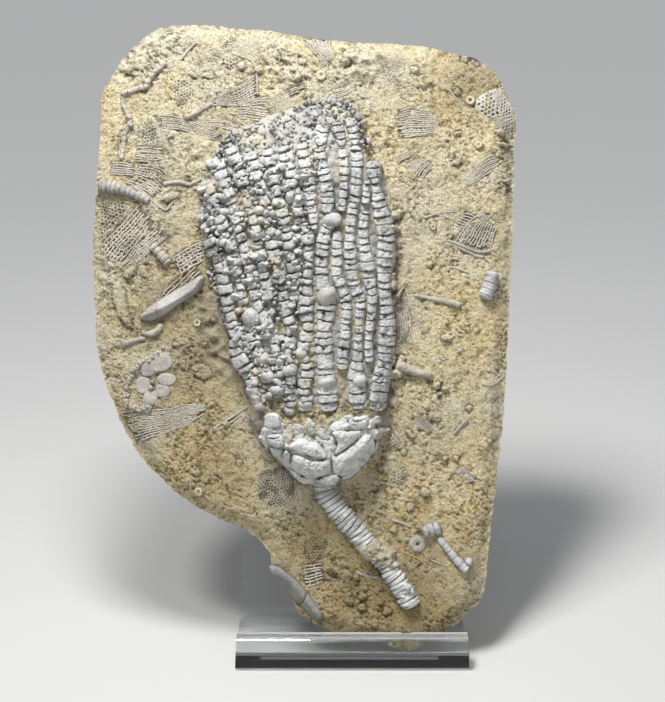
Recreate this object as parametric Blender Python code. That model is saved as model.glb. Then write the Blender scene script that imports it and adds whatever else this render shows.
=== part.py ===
"""A crinoid on its matrix slab, leaning on a clear display stand.

World frame: metres, +Z up, the fossil face towards -Y, and the origin at the middle of
the flat underside of the stand's ledge.  The slab and the fossils on it are laid out in
the slab's own frame, in millimetres: u to the right, v up the face and w out of it.  One
empty, slab_seat, tilts that frame back onto the stand.
"""

import math

import bmesh
import bpy
from mathutils import Matrix, Vector, noise
from mathutils.bvhtree import BVHTree
from mathutils.geometry import delaunay_2d_cdt

MM = 0.001
GAP = 0.3                       # clearance between pieces that touch

# Slab
SLAB_THICKNESS = 17.0           # flat back to the datum of the face
RIM_STEP = 4.6                  # spacing of the points round the rim
FACE_STEP = 4.3                 # spacing of the points over the face
BACK_STEP = 13.0
BED_REACH = 0.9                 # how far round a point the face is felt for its height
RIM_ROUNDING = 6.0              # width of the worn edge of the face
RIM_DROP = 2.4                  # how far the worn edge falls away
WALL_DEPTHS = (5.5, 11.5)       # rings of the broken side wall, below the face
SIDE_TAPER = 0.13               # how much the wall draws in for each millimetre of depth
FOOT_TAPER = 0.40               # the same at the foot, where the slab stands
FOOT_TOP = 26.0                 # v up to which the wall is undercut

# Crown
MOUND_HEIGHT = 6.0              # matrix core that the arms lie over
ARM_RELIEF = 3.7                # how far an arm stands off its bed
ARM_MARGIN = 0.16               # half of the gap between two arms
JOINT_NECK = 0.80               # width of an arm at a joint, against its middle
STEM_RADIUS = 2.35
STEM_RIB = 1.5                  # length of one stem columnal group

# Stand
LEAN = math.radians(20.0)       # how far the slab leans back
STAND_WIDTH = 56.0
STAND_TAPER = 0.05              # narrowing of each side for each millimetre of height
LIP_HEIGHT = 8.0
LIP_THICKNESS = 4.6
LEDGE_THICKNESS = 2.6
SHEET = 3.0                     # thickness of the back plate and the rear leg
PLATE_TOP = 86.0                # v of the crossing of the plate's and the leg's outer faces
LEG_ANGLE = math.radians(25.0)  # rear leg, away from the vertical
BEND_RADIUS = 2.5

# Outline of the face, clockwise from the top left corner.
OUTLINE = [
    (-47.0, 149.3), (-41.3, 150.5), (-32.9, 150.2), (-22.6, 149.3), (-12.0, 147.8), (-1.7, 146.6),
    (8.6, 146.2), (19.2, 145.2), (26.4, 143.5), (33.1, 140.6), (36.2, 136.6), (38.6, 132.5),
    (39.6, 127.2), (39.1, 120.0), (38.4, 100.3), (37.3, 79.7), (36.2, 66.0), (34.8, 48.5),
    (33.1, 32.9), (32.2, 22.3), (31.0, 12.7), (27.4, 9.4), (24.2, 5.8), (19.2, 2.6), (13.2, 0.1),
    (7.7, 1.7), (-1.7, 2.6), (-7.0, 4.8), (-12.0, 7.9), (-15.1, 12.7), (-19.2, 19.0),
    (-20.2, 23.5), (-24.5, 28.1), (-31.9, 31.2), (-39.1, 35.5), (-45.4, 41.0), (-50.6, 47.3),
    (-54.7, 55.7), (-57.8, 62.9), (-60.0, 69.1), (-61.4, 77.5), (-61.9, 85.9), (-61.9, 96.2),
    (-61.8, 106.6), (-61.2, 115.0), (-60.7, 125.3), (-60.5, 132.7), (-58.8, 136.8), (-55.7, 141.6),
    (-51.6, 146.2),
]

# Width of the crown up the slab: v, its left side and its right side.
CROWN_ROWS = [
    (39.8, -7.2, -3.4), (43.2, -14.4, 3.4), (47.5, -21.1, 7.2), (52.8, -23.5, 8.2),
    (60.0, -25.9, 8.6), (69.6, -29.3, 9.6), (79.2, -30.7, 10.6), (88.8, -33.4, 10.6),
    (98.4, -36.2, 10.6), (108.0, -37.0, 9.6), (117.6, -34.8, 8.2), (124.8, -31.9, 5.3),
    (130.1, -24.5, 1.9), (133.4, -13.4, -1.0),
]

# Arms of the crown, from the left to the right: width and route, from the cup outwards.
ARMS = {
    "arm_left_rim": (4.9, [
        (-21.6, 59.0), (-23.3, 62.4), (-24.7, 66.7), (-27.4, 71.5), (-27.8, 75.8), (-28.8, 80.2),
        (-29.8, 84.5), (-30.5, 89.3), (-31.9, 94.1), (-34.1, 98.4),
    ]),
    "arm_left_lobe": (4.2, [
        (-20.2, 62.9), (-20.6, 66.7), (-21.6, 70.6), (-23.8, 73.7), (-24.2, 77.3), (-25.4, 81.1),
        (-26.2, 85.4), (-27.1, 90.2), (-28.3, 95.0), (-30.2, 100.3), (-32.4, 105.6),
        (-34.1, 110.4),
    ]),
    "arm_left_lobe_upper": (3.9, [
        (-17.5, 63.8), (-17.0, 68.2), (-18.0, 72.0), (-19.0, 75.4), (-20.9, 79.2), (-22.6, 83.0),
        (-23.8, 87.4), (-24.7, 92.2), (-25.7, 97.0), (-27.1, 101.8), (-28.8, 107.0),
        (-30.5, 112.3), (-31.7, 117.6),
    ]),
    "arm_left_fork": (3.7, [
        (-19.4, 83.8), (-20.4, 87.8), (-21.4, 92.6), (-22.3, 97.4), (-23.3, 102.2), (-24.5, 107.0),
        (-25.9, 111.8), (-27.6, 116.2), (-29.0, 120.0),
    ]),
    "arm_middle_left": (3.9, [
        (-14.4, 58.6), (-14.6, 62.9), (-14.6, 67.7), (-15.1, 72.0), (-14.6, 76.3), (-15.4, 80.6),
        (-16.3, 85.0), (-17.0, 89.8), (-18.2, 94.6), (-19.2, 99.4), (-20.2, 104.2), (-21.4, 109.0),
        (-22.8, 113.8), (-24.2, 118.6),
    ]),
    "arm_middle_fork": (3.7, [
        (-13.2, 86.9), (-14.2, 91.2), (-14.9, 96.0), (-15.8, 100.8), (-16.8, 105.6),
        (-18.0, 110.4), (-19.2, 115.2), (-20.2, 119.5),
    ]),
    "arm_middle": (4.8, [
        (-10.8, 57.6), (-11.0, 62.4), (-10.8, 67.2), (-11.5, 71.3), (-11.0, 74.9), (-10.6, 78.5),
        (-11.0, 82.1), (-10.8, 85.9), (-10.6, 89.8), (-10.3, 94.1), (-10.6, 98.4), (-12.0, 102.7),
        (-13.2, 107.0), (-14.4, 111.8), (-15.4, 116.6), (-16.1, 120.0),
    ]),
    "arm_inner": (4.4, [
        (-8.9, 100.3), (-9.4, 104.6), (-9.8, 108.5), (-10.6, 112.8), (-11.3, 117.1),
        (-12.0, 120.5),
    ]),
    "arm_knotted": (5.4, [
        (-5.5, 57.6), (-5.8, 61.2), (-6.0, 65.3), (-6.5, 69.6), (-6.7, 73.4), (-6.5, 77.8),
        (-6.0, 82.6), (-6.7, 86.9), (-7.2, 91.2), (-7.0, 96.0), (-6.5, 99.4), (-5.3, 102.2),
    ]),
    "arm_knotted_left": (3.7, [
        (-6.0, 104.2), (-5.8, 108.0), (-6.2, 111.8), (-7.2, 115.7), (-7.9, 120.0),
    ]),
    "arm_knotted_right": (3.9, [
        (-2.6, 104.6), (-2.2, 108.0), (-1.9, 111.8), (-1.9, 115.7), (-2.4, 120.0),
    ]),
    "arm_right_inner": (4.1, [
        (-2.4, 67.4), (-2.2, 71.5), (-1.7, 75.4), (-1.4, 79.2), (-1.4, 83.0), (-2.4, 86.4),
        (-3.6, 89.8), (-3.6, 93.1), (-3.6, 96.5), (-3.4, 99.8),
    ]),
    "arm_right": (4.5, [
        (1.2, 58.1), (1.2, 61.9), (1.0, 65.8), (1.2, 69.6), (1.4, 73.9), (1.7, 78.2), (1.9, 83.0),
        (0.5, 87.4), (-0.2, 91.7), (-0.5, 96.0), (-0.5, 100.3), (0.0, 104.6), (0.7, 108.5),
        (1.0, 112.3), (1.2, 116.6), (0.7, 120.5),
    ]),
    "arm_right_outer": (4.1, [
        (4.1, 69.1), (3.8, 73.2), (4.1, 76.8), (4.6, 80.6), (4.8, 84.5), (4.1, 88.3), (3.6, 92.6),
        (2.9, 97.0), (2.6, 101.3), (3.4, 106.1), (4.1, 109.9), (4.3, 113.8),
    ]),
    "arm_right_rim": (4.6, [
        (5.8, 57.6), (6.2, 61.4), (7.0, 65.3), (7.7, 69.1), (8.2, 73.2), (8.4, 77.8), (8.2, 82.1),
        (7.7, 86.4), (7.7, 90.7), (7.9, 95.0), (8.2, 98.9), (7.2, 102.7), (6.2, 106.1),
        (5.8, 109.4),
    ]),
}
BRACHIAL = {"left": 3.3, "right": 2.75}       # length of one arm segment

# Rubble of broken arm tips above the arms.
ARM_TIPS = [
    (-30.7, 121.0), (-30.2, 123.8), (-25.9, 125.8), (-19.7, 126.7), (-14.9, 130.6), (-8.6, 132.5),
    (-1.9, 131.0), (1.9, 127.2), (3.4, 123.4), (2.4, 121.9), (-2.9, 121.9), (-8.2, 121.7),
    (-12.5, 122.2), (-16.6, 121.7), (-21.6, 121.4), (-25.9, 120.7),
]

# Cup, and the two large plates that swell from it: u, v, reach and rise.
CUP = [
    (-6.2, 40.7), (-11.0, 42.0), (-15.4, 44.6), (-19.2, 46.8), (-21.8, 50.2), (-21.6, 54.2),
    (-20.9, 56.9), (-16.3, 56.4), (-11.0, 56.2), (-5.3, 56.2), (1.0, 56.6), (6.5, 56.4),
    (7.2, 54.2), (5.8, 50.9), (4.3, 46.8), (1.0, 43.7), (-2.6, 41.5),
]
CUP_SWELLINGS = [
    (-10.1, 45.1, 5.0, 2.2), (-0.5, 46.3, 5.0, 2.0), (-1.4, 51.8, 3.0, 1.2),
    (-19.9, 51.1, 3.2, 1.6), (-13.7, 52.3, 5.0, -1.8),
]
CUP_HEIGHT = 4.8

STEM = [
    (-5.8, 39.1), (-3.8, 35.3), (-1.4, 31.4), (1.2, 27.6), (3.8, 24.2), (6.5, 21.6), (8.6, 18.7),
    (10.8, 15.6), (13.0, 13.2), (15.1, 11.0),
]


def spot(point):
    """The plan position of a route point, without its further values."""
    return Vector((point[0], point[1]))


def curve_through(points, step, closed=False):
    """Evenly spaced points along a Catmull-Rom curve through the given ones."""
    count = len(points)
    spans = count if closed else count - 1
    fine = []
    for span in range(spans):
        if closed:
            ends = [Vector(points[(span + k) % count]) for k in (-1, 0, 1, 2)]
        else:
            ends = [Vector(points[min(max(span + k, 0), count - 1)]) for k in (-1, 0, 1, 2)]
        before, start, end, after = ends
        for k in range(16):
            t = k / 16
            fine.append(0.5 * (2 * start + (end - before) * t
                               + (2 * before - 5 * start + 4 * end - after) * t * t
                               + (3 * start - before - 3 * end + after) * t ** 3))
    fine.append(Vector(points[0] if closed else points[-1]))
    lengths = [0.0]
    for one, two in zip(fine, fine[1:]):
        lengths.append(lengths[-1] + (two - one).length)
    pieces = max(1, round(lengths[-1] / step))
    even = []
    at = 0
    for k in range(pieces if closed else pieces + 1):
        target = lengths[-1] * k / pieces
        while at < len(lengths) - 2 and lengths[at + 1] < target:
            at += 1
        part = (target - lengths[at]) / max(lengths[at + 1] - lengths[at], 1e-9)
        even.append(fine[at].lerp(fine[at + 1], part))
    return even


def smooth(value):
    """A soft step from 0 to 1 as the value goes from 0 to 1."""
    value = min(max(value, 0.0), 1.0)
    return value * value * (3 - 2 * value)


def ripple(u, v, size, layer):
    return noise.noise(Vector((u / size, v / size, layer)))


def edge_distance(outline, point):
    """Distance from a plan point to the nearest side of an outline."""
    nearest = 1e9
    for one, two in zip(outline, outline[1:] + outline[:1]):
        side = two - one
        part = min(max((point - one).dot(side) / side.length_squared, 0.0), 1.0)
        nearest = min(nearest, (point - one - side * part).length)
    return nearest


def is_inside(outline, point):
    crossings = 0
    for one, two in zip(outline, outline[1:] + outline[:1]):
        if (one.y > point.y) != (two.y > point.y):
            if point.x < one.x + (point.y - one.y) * (two.x - one.x) / (two.y - one.y):
                crossings += 1
    return crossings % 2 == 1


def gridded(outline, step):
    """Plan points over an outline, the outline's own first, and the triangles between them."""
    points = list(outline)
    low = min(p.y for p in outline)
    high = max(p.y for p in outline)
    left = min(p.x for p in outline)
    right = max(p.x for p in outline)
    row_step = step * math.sqrt(3) / 2
    for row in range(int((high - low) / row_step) + 1):
        for column in range(int((right - left) / step) + 2):
            point = Vector((left + (column - 0.5 * (row % 2)) * step, low + (row + 0.5) * row_step))
            if is_inside(outline, point) and edge_distance(outline, point) > 0.55 * step:
                points.append(point)
    ring = list(range(len(outline)))
    plan, _, faces, origins, _, _ = delaunay_2d_cdt(points, [], [ring], 1, 1e-5)
    place = {}
    for index, sources in enumerate(origins):
        for source in sources:
            place[source] = index
    back = {index: source for source, index in place.items()}
    return points, [[back[index] for index in face] for face in faces]


def material(name, colour, roughness, see_through=0.0):
    made = bpy.data.materials.new(name)
    made.use_nodes = True
    shader = made.node_tree.nodes["Principled BSDF"]
    shader.inputs["Base Color"].default_value = (*colour, 1.0)
    shader.inputs["Roughness"].default_value = roughness
    shader.inputs["Metallic"].default_value = 0.0
    shader.inputs["Transmission Weight"].default_value = see_through
    shader.inputs["IOR"].default_value = 1.49
    return made


def add_object(name, bm, finish, seat=None, sharp=50.0):
    """Turn a mesh in millimetres into a named object in metres."""
    bmesh.ops.recalc_face_normals(bm, faces=bm.faces)
    bmesh.ops.scale(bm, vec=(MM, MM, MM), verts=bm.verts)
    mesh = bpy.data.meshes.new(name)
    bm.to_mesh(mesh)
    bm.free()
    mesh.materials.append(finish)
    mesh.shade_smooth()
    mesh.set_sharp_from_angle(angle=math.radians(sharp))
    made = bpy.data.objects.new(name, mesh)
    bpy.context.collection.objects.link(made)
    made.parent = seat
    return made


def close_between(bm, lower, upper):
    """A band of quads between two closed rings of the same number of points."""
    count = len(lower)
    for k in range(count):
        after = (k + 1) % count
        bm.faces.new((lower[k], lower[after], upper[after], upper[k]))


# ---------------------------------------------------------------- slab

def crown_span(v):
    """Left and right side of the crown at a height on the slab, or None outside it."""
    for low, high in zip(CROWN_ROWS, CROWN_ROWS[1:]):
        if low[0] <= v <= high[0]:
            part = (v - low[0]) / (high[0] - low[0])
            return low[1] + (high[1] - low[1]) * part, low[2] + (high[2] - low[2]) * part
    return None


def mound(u, v):
    """Height of the matrix core under the crown."""
    span = crown_span(v)
    if span is None or not span[0] < u < span[1]:
        return 0.0
    across = (2 * u - span[0] - span[1]) / (span[1] - span[0])
    bottom, top = CROWN_ROWS[0][0], CROWN_ROWS[-1][0]
    along = 0.55 + 0.45 * smooth((v - bottom) / 25)
    along *= smooth((top + 2 - v) / 24)
    return MOUND_HEIGHT * along * (1 - across * across) ** 0.8


def relief(u, v, rim):
    """Height of the matrix face over its datum."""
    edge = edge_distance(rim, Vector((u, v)))
    height = 0.8 * ripple(u, v, 26, 1.7) - RIM_DROP * (1 - smooth(edge / RIM_ROUNDING)) ** 2
    core = mound(u, v)
    if core > 0.3:
        return height + core
    return height + 0.55 * ripple(u, v, 6, 5.1)


def wall_inset(v, depth):
    undercut = smooth((FOOT_TOP - v) / 14)
    return depth * (SIDE_TAPER + (FOOT_TAPER - SIDE_TAPER) * undercut)


def inset_ring(rim, depth):
    """The rim drawn in for a ring of the side wall at this depth, with broken lumps."""
    ring = []
    count = len(rim)
    for k, point in enumerate(rim):
        tangent = (rim[(k + 1) % count] - rim[k - 1]).normalized()
        inward = Vector((tangent.y, -tangent.x))
        lump = max(0.0, ripple(point.x, point.y, 9, depth)) * 1.6 * smooth(point.y / FOOT_TOP)
        ring.append(point + inward * (wall_inset(point.y, depth) + lump))
    return ring


def make_slab(finish):
    """The matrix: a relief face, a broken side wall and a rough flat back."""
    rim = [spot(p) for p in curve_through(OUTLINE, RIM_STEP, closed=True)]
    bm = bmesh.new()
    plan, faces = gridded(rim, FACE_STEP)
    front = [bm.verts.new((p.x, p.y, relief(p.x, p.y, rim))) for p in plan]
    for face in faces:
        bm.faces.new([front[k] for k in face])
    ring = front[:len(rim)]
    for depth in WALL_DEPTHS:
        below = [bm.verts.new((p.x, p.y, -depth)) for p in inset_ring(rim, depth)]
        close_between(bm, ring, below)
        ring = below
    back_rim = inset_ring(rim, SLAB_THICKNESS)
    back_plan, back_faces = gridded(back_rim, BACK_STEP)
    back = []
    for k, p in enumerate(back_plan):
        hollow = 1.2 if k < len(back_rim) else 0.5 * abs(ripple(p.x, p.y, 15, 9.3))
        back.append(bm.verts.new((p.x, p.y, hollow - SLAB_THICKNESS)))
    close_between(bm, ring, back[:len(rim)])
    for face in back_faces:
        bm.faces.new([back[k] for k in face])
    return bm


# ---------------------------------------------------------------- fossils laid on the slab

class Bed:
    """The face of the slab, as what lies on it finds it."""

    def __init__(self, slab):
        self.tree = BVHTree.FromBMesh(slab)

    def height(self, u, v):
        """Where the underside of a piece lies: the highest of the face nearby and the gap."""
        highest = -SLAB_THICKNESS
        for aside, along in ((0, 0), (BED_REACH, 0), (-BED_REACH, 0), (0, BED_REACH), (0, -BED_REACH)):
            start = Vector((u + aside, v + along, 60.0))
            hit = self.tree.ray_cast(start, Vector((0.0, 0.0, -1.0)))[0]
            if hit:
                highest = max(highest, hit.z)
        return highest + GAP


def lay_strand(bed, stations, relief_height, sides):
    """A closed strand along the slab; each station is its place, heading, half width, fullness."""
    bm = bmesh.new()
    rings = []
    flat = 0.45
    for place, heading, half, fullness in stations:
        across = Vector((heading.y, -heading.x))
        base = bed.height(place.x, place.y)
        ring = []
        for k in range(sides):
            angle = math.pi / 2 + 2 * math.pi * (k + 0.5 * (sides % 2 == 0)) / sides
            at = place + across * (half * math.cos(angle))
            lift = relief_height * fullness * max(0.0, math.sin(angle) + flat) / (1 + flat)
            ring.append(bm.verts.new((at.x, at.y, max(base + lift, bed.height(at.x, at.y)))))
        rings.append(ring)
    for one, two in zip(rings, rings[1:]):
        close_between(bm, one, two)
    for ring in (rings[0], rings[-1]):
        bm.faces.new(ring)
    return bm


def headings(points):
    last = len(points) - 1
    return [(points[min(k + 1, last)] - points[max(k - 1, 0)]).normalized() for k in range(last + 1)]


def dome(bed, outline, step, height, rounding, texture=None):
    """A closed cushion over an outline, lying on the bed."""
    rim = [spot(p) for p in outline]
    bm = bmesh.new()
    plan, faces = gridded(rim, step)
    lower = [bm.verts.new((p.x, p.y, bed.height(p.x, p.y))) for p in plan]
    upper = []
    for k, p in enumerate(plan):
        edge = 0.0 if k < len(rim) else edge_distance(rim, p)
        swell = math.sqrt(1 - (1 - min(edge / rounding, 1.0)) ** 2)
        rise = max(0.35, height * (0.25 + 0.75 * swell) + (texture(p.x, p.y) if texture else 0.0))
        upper.append(bm.verts.new((p.x, p.y, bed.height(p.x, p.y) + rise)))
    for face in faces:
        bm.faces.new([upper[k] for k in face])
        bm.faces.new([lower[k] for k in reversed(face)])
    close_between(bm, lower[:len(rim)], upper[:len(rim)])
    return bm


# ---------------------------------------------------------------- crown

def arm_plans():
    """Places, headings and nominal half widths of every arm, a point at each joint and middle."""
    plans = {}
    for name, (width, route) in ARMS.items():
        segment = BRACHIAL["left"] if ("left" in name or "middle" in name) else BRACHIAL["right"]
        points = [spot(p) for p in curve_through(route, segment / 2)]
        plans[name] = [(p, h, width / 2) for p, h in zip(points, headings(points))]
    return plans


def room_for(place, heading, half, name, plans):
    """Half width that leaves the margin to every other arm beside this place."""
    across = Vector((heading.y, -heading.x))
    allowed = half
    for other, stations in plans.items():
        if other == name:
            continue
        for there, _, other_half in stations:
            offset = there - place
            if abs(offset.dot(heading)) < 0.85 and offset.length < 7:
                share = abs(offset.dot(across)) * half / (half + other_half)
                allowed = min(allowed, share - ARM_MARGIN)
    return max(allowed, 0.35)


def make_arm(bed, name, plans):
    """One arm: a strand that swells at each segment and necks at each joint."""
    stations = []
    last = len(plans[name]) - 1
    for k, (place, heading, half) in enumerate(plans[name]):
        neck = 1.0 if k % 2 else JOINT_NECK
        tip = 0.72 if k in (0, last) else 1.0
        half = room_for(place, heading, half, name, plans)
        stations.append((place, heading, half * neck * tip, neck * tip))
    return lay_strand(bed, stations, ARM_RELIEF, 6)


def cup_texture(u, v):
    rise = 0.0
    for centre_u, centre_v, reach, lift in CUP_SWELLINGS:
        distance = math.hypot(u - centre_u, v - centre_v) / reach
        rise += lift * math.exp(-distance * distance)
    return rise


def make_stem(bed):
    """The stem: closely ribbed, a little wider where it leaves the cup."""
    points = [spot(p) for p in curve_through(STEM, STEM_RIB / 2)]
    last = len(points) - 1
    stations = []
    for k, (place, heading) in enumerate(zip(points, headings(points))):
        rib = 1.0 if k % 2 else 0.88
        flare = 1.0 + 0.22 * max(0.0, 1 - k / 6)
        taper = 1.0 - 0.12 * k / last
        full = rib * flare * taper * (0.8 if k in (0, last) else 1.0)
        stations.append((place, heading, STEM_RADIUS * full, full))
    return lay_strand(bed, stations, 2 * STEM_RADIUS * 0.86, 7)


# ---------------------------------------------------------------- loose fossils beside the crown

def ribbed_rod(bed, route, widths, rib, height, sides=7):
    """A short ribbed piece of stem: its half width runs from the first value to the second."""
    points = [spot(p) for p in curve_through(route, rib / 2)]
    last = len(points) - 1
    stations = []
    for k, (place, heading) in enumerate(zip(points, headings(points))):
        half = widths[0] + (widths[1] - widths[0]) * k / last
        full = (1.0 if k % 2 else 0.84) * (0.8 if k in (0, last) else 1.0)
        stations.append((place, heading, half * full, full * half / max(widths)))
    return lay_strand(bed, stations, height, sides)


def add_loose_fossils(bed, seat, grey, violet):
    """The larger loose pieces, each a node of its own."""
    rods = {
        "stem_fragment_left": ([
            (-61.0, 111.4), (-57.6, 111.0), (-54.2, 110.2), (-51.4, 109.0), (-48.7, 107.9),
        ], (1.75, 0.95), 1.5, 3.0),
        "stem_fragment_right": ([
            (33.6, 90.5), (32.6, 87.4), (31.7, 84.5),
        ], (1.75, 1.75), 1.3, 2.6),
        "stem_fragment_low": ([
            (17.0, 28.3), (21.4, 29.8),
        ], (1.5, 1.6), 1.3, 2.4),
        "stem_twig_low": ([
            (21.1, 26.6), (22.8, 24.5), (24.7, 22.1), (27.4, 19.2),
        ], (0.75, 1.2), 2.2, 1.9),
        "chain_of_plates": ([
            (-44.2, 141.1), (-46.8, 139.2), (-48.7, 136.8), (-49.7, 134.9), (-52.6, 133.9),
            (-54.5, 132.7), (-54.5, 130.3), (-53.5, 128.2), (-53.5, 125.8), (-54.5, 122.9),
            (-55.2, 120.0), (-55.7, 117.4),
        ], (0.85, 0.8), 3.6, 1.5),
        "spindle_spine": ([
            (11.5, 67.4), (13.9, 67.0), (16.6, 66.2), (19.2, 65.8),
        ], (1.1, 0.8), 2.4, 1.6),
    }
    for name, (route, widths, rib, height) in rods.items():
        add_object(name, ribbed_rod(bed, route, widths, rib, height), grey, seat)
    domes = {
        "shell_splinter": ([
            (-50.6, 79.9), (-49.2, 82.1), (-45.4, 84.5), (-40.8, 87.1), (-35.8, 89.5),
            (-35.0, 88.6), (-37.4, 86.2), (-41.8, 83.5), (-46.1, 80.9), (-49.0, 79.2),
        ], 2.6, 1.9, 1.6, violet),
        "plate_rosette": ([
            (-50.6, 69.4), (-48.0, 71.5), (-44.2, 71.5), (-43.0, 68.9), (-43.2, 65.3),
            (-44.2, 61.4), (-46.6, 59.3), (-49.7, 59.5), (-51.6, 61.9), (-51.4, 65.5),
        ], 2.8, 1.5, 2.0, violet),
        "shell_on_rim": ([
            (-18.5, 18.2), (-16.1, 18.5), (-12.7, 16.1), (-9.4, 12.2), (-7.2, 8.6), (-7.7, 6.7),
            (-10.3, 7.9), (-13.2, 11.3), (-15.6, 13.9),
        ], 2.8, 1.6, 1.5, violet),
        "ring_plate": ([
            (15.7, 27.4), (17.3, 26.6), (17.8, 25.2), (17.0, 23.8), (15.6, 23.3), (14.2, 24.0),
            (13.8, 25.4), (14.4, 26.9),
        ], 2.0, 1.3, 1.0, grey),
    }
    for name, (outline, step, height, rounding, finish) in domes.items():
        add_object(name, dome(bed, outline, step, height, rounding), finish, seat)


# ---------------------------------------------------------------- stand

def meet(one, one_way, two, two_way):
    """Crossing of two lines in the side view, each a point and a direction."""
    determinant = one_way.x * two_way.y - one_way.y * two_way.x
    offset = two - one
    along = (offset.x * two_way.y - offset.y * two_way.x) / determinant
    return one + one_way * along


def rounded(corners, pieces=4):
    """A side-view outline with each corner turned into an arc of its own radius."""
    points = []
    count = len(corners)
    for k, (corner, radius) in enumerate(corners):
        if radius == 0.0:
            points.append(corner)
            continue
        back = (corners[k - 1][0] - corner).normalized()
        on = (corners[(k + 1) % count][0] - corner).normalized()
        half_angle = math.acos(max(-1.0, min(1.0, back.dot(on)))) / 2
        centre = corner + (back + on).normalized() * (radius / math.sin(half_angle))
        reach = radius / math.tan(half_angle)
        start = corner + back * reach - centre
        end = corner + on * reach - centre
        turn = start.angle_signed(end)
        for step in range(pieces + 1):
            points.append(centre + Matrix.Rotation(-turn * step / pieces, 2) @ start)
    return points


def seat_of(slab):
    """Side-view place (y, z) of the slab's own origin, with the slab on the ledge."""
    up = Vector((math.sin(LEAN), math.cos(LEAN)))
    out = Vector((-math.cos(LEAN), math.sin(LEAN)))
    sides = [up * v.co.y + out * v.co.z for v in slab.verts]
    height = LEDGE_THICKNESS + GAP - min(p.y for p in sides)
    low = [p.x for p in sides if p.y + height < LIP_HEIGHT + 1.0]
    return Vector((LIP_THICKNESS + GAP - min(low), height)), up, out


def stand_profile(origin, up, out):
    """Side-view outline of the bent sheet: lip, ledge, back plate, bend and rear leg."""
    front_face = origin - out * (SLAB_THICKNESS + GAP)
    rear_face = front_face - out * SHEET
    leg_way = Vector((math.sin(LEG_ANGLE), -math.cos(LEG_ANGLE)))
    leg_out = Vector((math.cos(LEG_ANGLE), math.sin(LEG_ANGLE)))
    apex = front_face + up * PLATE_TOP
    ground, level = Vector((0.0, 0.0)), Vector((1.0, 0.0))
    inner_leg = apex - leg_out * SHEET
    foot = meet(inner_leg, leg_way, ground, level)
    heel = meet(apex, leg_way, ground, level)
    under = meet(rear_face, up, ground, level)
    return [
        (Vector((0.0, LIP_HEIGHT)), 1.0),
        (ground, 0.8),
        (under, SHEET + 1.5),
        (meet(rear_face, up, inner_leg, leg_way), BEND_RADIUS),
        (foot, 0.0),
        (heel, 0.0),
        (apex, BEND_RADIUS + SHEET),
        (meet(front_face, up, Vector((0.0, LEDGE_THICKNESS)), level), 1.5),
        (Vector((LIP_THICKNESS, LEDGE_THICKNESS)), 0.8),
        (Vector((LIP_THICKNESS, LIP_HEIGHT)), 1.0),
    ], under.x / 2


def make_stand(profile, middle):
    """The bent sheet: its side outline drawn out across the width, narrower towards the top."""
    bm = bmesh.new()
    outline = rounded(profile)
    rings = []
    for side in (-1, 1):
        ring = []
        for p in outline:
            half = STAND_WIDTH / 2 - STAND_TAPER * p.y
            ring.append(bm.verts.new((side * half, p.x - middle, p.y)))
        bm.faces.new(ring)
        rings.append(ring)
    close_between(bm, *rings)
    return bm


# ---------------------------------------------------------------- assembly

def build():
    for old in list(bpy.data.objects):
        bpy.data.objects.remove(old, do_unlink=True)
    stone = material("matrix_stone", (0.62, 0.52, 0.33), 0.95)
    grey = material("fossil_calcite", (0.55, 0.54, 0.50), 0.6)
    violet = material("fossil_shell", (0.40, 0.37, 0.35), 0.55)
    clear = material("clear_acrylic", (0.95, 0.97, 0.97), 0.05, see_through=1.0)

    slab = make_slab(stone)
    bmesh.ops.recalc_face_normals(slab, faces=slab.faces)
    bmesh.ops.triangulate(slab, faces=slab.faces)
    bed = Bed(slab)
    origin, up, out = seat_of(slab)
    profile, middle = stand_profile(origin, up, out)

    seat = bpy.data.objects.new("slab_seat", None)
    bpy.context.collection.objects.link(seat)
    seat.location = (0.0, (origin.x - middle) * MM, origin.y * MM)
    seat.rotation_euler = (math.pi / 2 - LEAN, 0.0, 0.0)

    plans = arm_plans()
    for name in ARMS:
        add_object(name, make_arm(bed, name, plans), grey, seat)
    tips = dome(bed, ARM_TIPS, 2.3, 2.4, 3.0, lambda u, v: 2.0 * ripple(u, v, 2.1, 3.3))
    add_object("arm_tips", tips, grey, seat)
    add_object("cup", dome(bed, CUP, 2.3, CUP_HEIGHT, 5.0, cup_texture), grey, seat)
    add_object("stem", make_stem(bed), grey, seat)
    add_loose_fossils(bed, seat, grey, violet)
    add_object("matrix_slab", slab, stone, seat, sharp=40.0)
    add_object("display_stand", make_stand(profile, middle), clear, sharp=30.0)


build()
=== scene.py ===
"""The looks of a crinoid fossil on its matrix slab, leaning on a clear display stand.

Everything on the slab is laid out in the slab's own frame, in millimetres: u to the right,
v up the face and w out of it.  to_world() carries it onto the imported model.
"""

import math
import random

import bmesh
import bpy
import numpy as np
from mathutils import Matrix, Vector, noise
from mathutils.geometry import delaunay_2d_cdt


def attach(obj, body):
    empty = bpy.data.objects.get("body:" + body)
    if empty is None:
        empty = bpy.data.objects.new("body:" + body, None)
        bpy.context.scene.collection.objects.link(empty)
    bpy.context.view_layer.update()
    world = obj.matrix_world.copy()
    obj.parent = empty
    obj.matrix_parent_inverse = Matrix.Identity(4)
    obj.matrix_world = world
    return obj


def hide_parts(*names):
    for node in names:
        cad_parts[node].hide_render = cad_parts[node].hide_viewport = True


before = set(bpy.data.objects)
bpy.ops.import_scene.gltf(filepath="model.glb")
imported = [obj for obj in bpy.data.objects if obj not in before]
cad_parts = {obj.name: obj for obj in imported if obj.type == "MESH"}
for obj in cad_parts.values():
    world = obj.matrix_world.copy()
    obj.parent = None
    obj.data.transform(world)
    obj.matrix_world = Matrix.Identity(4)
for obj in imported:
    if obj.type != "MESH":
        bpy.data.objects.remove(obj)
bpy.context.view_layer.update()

# ---------------------------------------------------------------- frame and scale

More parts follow.
